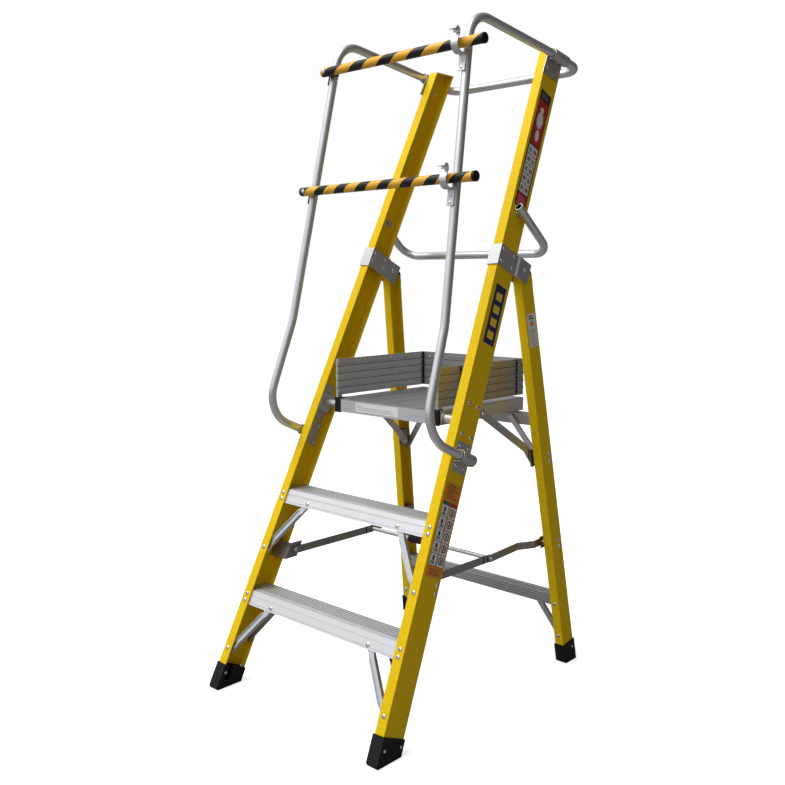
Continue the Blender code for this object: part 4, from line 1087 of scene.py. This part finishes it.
def add_label(name, origin, across, upward, shapes, body="front_frame"):
    """A thin printed film; shapes are (level, kind, ink, x, y, width, height) from its corner."""
    normal = across.cross(upward).normalized()
    inks = list(dict.fromkeys(shape[2] for shape in shapes))
    bm = bmesh.new()
    for level, kind, ink, x, y, width, height in shapes:
        lift = 0.00020 + 0.00005 * level
        thick = 0.00020
        index = inks.index(ink)
        middle = origin + across * (x + width / 2) + upward * (y + height / 2) + normal * lift
        if kind == "box":
            block(bm, middle, (across, upward, normal), (width, height, thick), index)
        else:
            sides = 24
            rows = []
            for rise in (-thick / 2, thick / 2):
                rows.append([middle + across * (width / 2 * math.cos(2 * math.pi * i / sides))
                             + upward * (height / 2 * math.sin(2 * math.pi * i / sides))
                             + normal * rise for i in range(sides)])
            loft(bm, rows, index=index)
    add_piece(name, bm, inks, body, 0)


def add_tall_label():
    """Black, red and white panel with plain tiles, on the right stile's outer web."""
    _, rear, up = front_axes(1)
    width, height = 0.047, 0.329
    shapes = [(0, "box", INK_BLACK, 0.0, 0.0, width, height),
              (1, "box", INK_RED, 0.003, 0.176, width - 0.006, 0.126),
              (1, "box", INK_RED, 0.003, 0.003, width - 0.006, 0.034)]
    for k in range(4):
        wide = width - 0.014 - 0.004 * (k % 2)
        shapes.append((1, "box", INK_GREY, 0.006, 0.3085 + 0.0040 * k, wide, 0.0014))
        shapes.append((2, "box", INK_WHITE, 0.007, 0.0085 + 0.0065 * k, wide - 0.003, 0.0012))
    for x, y, wide, high in ((0.0150, 0.268, 0.0150, 0.0160), (0.0095, 0.224, 0.0260, 0.0460),
                             (0.0160, 0.188, 0.0170, 0.0330)):
        shapes.append((2, "disc", INK_WHITE, x, y, wide, high))
    for row in range(5):
        for column in range(2):
            x = 0.0040 + 0.0200 * column
            y = 0.0400 + 0.0268 * row
            shapes.append((1, "box", INK_WHITE, x, y, 0.0188, 0.0248))
            shapes.append((2, "box", INK_GREY, x + 0.0040, y + 0.0060, 0.0100, 0.0120))
            if (row + column) % 2:
                shapes.append((3, "box", INK_RED, x + 0.0020, y + 0.0110, 0.0150, 0.0026))
    add_label("label_tall", web_spot(1, 1.351, 0.013), rear, up, shapes)


def add_banner_label():
    """Navy panel with a row of plain yellow blocks, on the right stile's outer web."""
    _, rear, up = front_axes(1)
    width, height = 0.042, 0.152
    shapes = [(0, "box", INK_NAVY, 0.0, 0.0, width, height)]
    for k in range(4):
        shapes.append((1, "box", INK_YELLOW, 0.0090, 0.0140 + 0.0330 * k, 0.0240, 0.0200))
    add_label("label_banner", web_spot(1, 0.987, 0.019), rear, up, shapes)


def add_tile_label():
    """Amber, white, green and red panel of plain ring marks, low on the right stile."""
    _, rear, up = front_axes(1)
    width, height = 0.056, 0.220
    shapes = [(0, "box", INK_AMBER, 0.0, 0.0, width, height),
              (1, "box", INK_GREEN, 0.0010, 0.0250, 0.0265, 0.1500),
              (1, "box", INK_RED, 0.0285, 0.0250, 0.0265, 0.1500)]
    for k in range(6):
        wide = width - 0.018 - 0.006 * (k % 3)
        shapes.append((1, "box", INK_BLACK, 0.008, 0.1830 + 0.0058 * k, wide, 0.0018))
    for k in range(3):
        shapes.append((1, "box", INK_BLACK, 0.008, 0.0060 + 0.0055 * k, width - 0.018, 0.0013))
    for row in range(5):
        y = 0.0265 + 0.0282 * row
        shapes.append((2, "box", INK_WHITE, 0.0022, y, 0.0240, 0.0268))
        shapes.append((3, "box", INK_GREY, 0.0060 + 0.0020 * (row % 2), y + 0.0030, 0.0140, 0.0070))
        shapes.append((3, "disc", INK_BLACK, 0.0100, y + 0.0105, 0.0075, 0.0125))
        shapes.append((2, "box", INK_WHITE, 0.0300, y, 0.0235, 0.0264))
        shapes.append((3, "disc", INK_BLACK, 0.0320, y + 0.0040, 0.0190, 0.0190))
        shapes.append((4, "disc", INK_WHITE, 0.0347, y + 0.0067, 0.0136, 0.0136))
        shapes.append((5, "box", INK_BLACK, 0.0395, y + 0.0085, 0.0045, 0.0100))
    add_label("label_tiles", web_spot(1, 0.420, 0.012), rear, up, shapes)


def add_plain_labels():
    """White film on the platform's fascia and on the right rear stile."""
    up = Vector((0.0, 0.0, 1.0))
    shapes = [(0, "box", INK_WHITE, 0.0, 0.0, 0.150, 0.0235)]
    for k, wide in enumerate((0.128, 0.118, 0.018)):
        shapes.append((1, "box", INK_GREY, 0.006, 0.0052 + 0.0052 * k, wide, 0.0013))
    origin = at(-0.102, PLATFORM_FRONT, PLATFORM_TOP - 0.0290)
    add_label("label_fascia", origin, X_AXIS, up, shapes, "platform")
    _, rear, up = rear_axes(1)
    shapes = [(0, "box", INK_WHITE, 0.0, 0.0, 0.036, 0.086),
              (1, "disc", INK_AMBER, 0.0105, 0.0530, 0.0150, 0.0130)]
    for k in range(8):
        shapes.append((1, "box", INK_GREY, 0.004, 0.005 + 0.0055 * k, 0.028 - 0.004 * (k % 3), 0.0013))
    for k in range(2):
        shapes.append((1, "box", INK_BLACK, 0.007, 0.0715 + 0.0065 * k, 0.022 - 0.006 * k, 0.0030))
    origin = rear_spot(1, REAR_WIDTH / 2, 0.0060, 0.861)
    add_label("label_rear_stile", origin, rear, up, shapes, "rear_frame")


# ---------------------------------------------------------------- finish of the CAD nodes

def node_finish(name):
    """The material of a CAD node and the width of its rounded edges."""
    rules = (("front_stile", FRONT_GLASS, 0.0009), ("rear_stile", REAR_GLASS, 0.0009),
             ("front_foot", RUBBER, 0.0012), ("rear_foot", RUBBER, 0.0012),
             ("tread_brace", BRACE_METAL, 0.0004), ("rear_brace", BRACE_METAL, 0.0004),
             ("crossbar_brace", BRACE_METAL, 0.0004), ("tread_lower", TREAD_METALS["lower"], 0.0002),
             ("tread_upper", TREAD_METALS["upper"], 0.0002),
             ("rear_bar", BAR_METAL, 0.0004), ("rear_crossbar", PLATE_METAL, 0.0005),
             ("platform_deck", DECK_METAL, 0.0002), ("toe_board_rear", TOE_REAR_METAL, 0.0002),
             ("toe_board_left", TOE_LEFT_PAINTED_LIGHT_METAL, 0.0002),
             ("toe_board", TOE_METAL, 0.0002), ("gate_hook", HOOK_METAL, 0.0005),
             ("gate_pin", RIVET_METAL, 0.0), ("hinge_pin", RIVET_METAL, 0.0),
             ("platform_strut", STRUT_METAL, 0.0005), ("spreader", LINK_METAL, 0.0005),
             ("strut_bracket", LINK_METAL, 0.0005))
    for start, finish, width in rules:
        if name.startswith(start):
            return finish, width
    return PLATE_METAL, 0.0005


def dress_nodes():
    for name, obj in nodes.items():
        if obj.hide_render:
            continue
        finish, width = node_finish(name)
        obj.data.materials.clear()
        obj.data.materials.append(finish)
        if obj.data.has_custom_normals:
            with bpy.context.temp_override(object=obj, active_object=obj):
                bpy.ops.mesh.customdata_custom_splitnormals_clear()
        obj.data.shade_smooth()
        weld = obj.modifiers.new("weld", "WELD")
        weld.merge_threshold = 0.00001
        bevelled(obj, width or 0.0002)


# ---------------------------------------------------------------- floor, light and camera

def stage_material(name):
    """Paper white to the eye, dimmer to what it lights, as under a strong lamp."""
    made, tree, shader = start_material(name)
    patch = noise(tree, object_coords(tree), 1.5, 2.0)
    seen = shader_node(tree, "ShaderNodeLightPath").outputs["Is Camera Ray"]
    pale = blend_colours(tree, patch, (0.90, 0.90, 0.90), (0.92, 0.92, 0.92))
    tone = blend_colours(tree, seen, (0.30, 0.29, 0.28), pale)
    feed(tree, shader, Base_Color=tone, Roughness=0.9, Specular_IOR_Level=0.1,
         Emission_Color=(1.0, 1.0, 1.0, 1.0), Emission_Strength=times(tree, seen, 0.62))
    return made


def add_floor():
    bm = bmesh.new()
    bmesh.ops.create_grid(bm, x_segments=8, y_segments=8, size=40.0)
    mesh = bpy.data.meshes.new("floor")
    bm.to_mesh(mesh)
    bm.free()
    mesh.materials.append(stage_material("floor_white"))
    floor = bpy.data.objects.new("floor", mesh)
    floor.location.z = -0.0005
    bpy.context.scene.collection.objects.link(floor)


def add_light(name, place, target, size, power, colour=(1.0, 1.0, 1.0)):
    lamp = bpy.data.lights.new(name, "AREA")
    lamp.shape = "RECTANGLE"
    lamp.size = size[0]
    lamp.size_y = size[1]
    lamp.energy = power
    lamp.color = colour
    made = bpy.data.objects.new(name, lamp)
    made.location = place
    made.rotation_euler = (Vector(target) - Vector(place)).to_track_quat("-Z", "Y").to_euler()
    bpy.context.scene.collection.objects.link(made)


def add_world():
    """A white room with one dim corner, so that metal shows light and shade."""
    world = bpy.data.worlds.new("studio")
    world.use_nodes = True
    bpy.context.scene.world = world
    tree = world.node_tree
    ground = tree.nodes["Background"]
    coords = shader_node(tree, "ShaderNodeTexCoord").outputs["Generated"]
    parts = shader_node(tree, "ShaderNodeSeparateXYZ", {0: coords})
    corner = calc(tree, "ADD", parts.outputs[0], parts.outputs[1])
    side = calc(tree, "ADD", times(tree, corner, -0.354), 0.5)
    room = ramp(tree, side, ((0.05, (0.10, 0.09, 0.085)), (0.34, (0.22, 0.205, 0.195)),
                             (0.54, (0.58, 0.58, 0.60)), (0.85, (0.88, 0.89, 0.92))))
    seen = shader_node(tree, "ShaderNodeLightPath").outputs["Is Camera Ray"]
    colour = blend_colours(tree, seen, room, (1.0, 1.0, 1.0))
    tree.links.new(colour, ground.inputs["Color"])
    ground.inputs["Strength"].default_value = 1.0


def add_camera():
    data = bpy.data.cameras.new("camera")
    data.lens = 42.02
    data.sensor_width = 36.0
    data.sensor_fit = "HORIZONTAL"
    data.clip_start = 0.05
    camera = bpy.data.objects.new("camera", data)
    place = Vector((1.5667, -1.7676, 1.0435))
    target = Vector((-0.0696, 0.0075, 0.7402))
    camera.location = place
    camera.rotation_euler = (target - place).to_track_quat("-Z", "Y").to_euler()
    bpy.context.scene.collection.objects.link(camera)
    bpy.context.scene.camera = camera


def add_stage():
    add_floor()
    add_world()
    add_light("key", (-1.0, -1.7, 4.7), (0.0, 0.0, 0.7), (3.0, 3.0), 168.0)
    bpy.context.scene.view_settings.view_transform = "Standard"


add_rails()
add_gate_bars()
add_corner_caps()
add_spreader_bar()
dress_nodes()
add_front_stile_rivets()
add_tread_rivets()
add_bracket_rivets()
add_top_bracket_rivets()
add_rear_stile_rivets()
add_boot_rivets()
add_mid_rail_fixings()
add_toe_details()
add_stile_details()
add_rear_tread_braces()
add_brace_edges()
add_tread_ridges()
add_link_pins()
add_link_collars()
add_tall_label()
add_banner_label()
add_tile_label()
add_plain_labels()
add_stage()
add_camera()
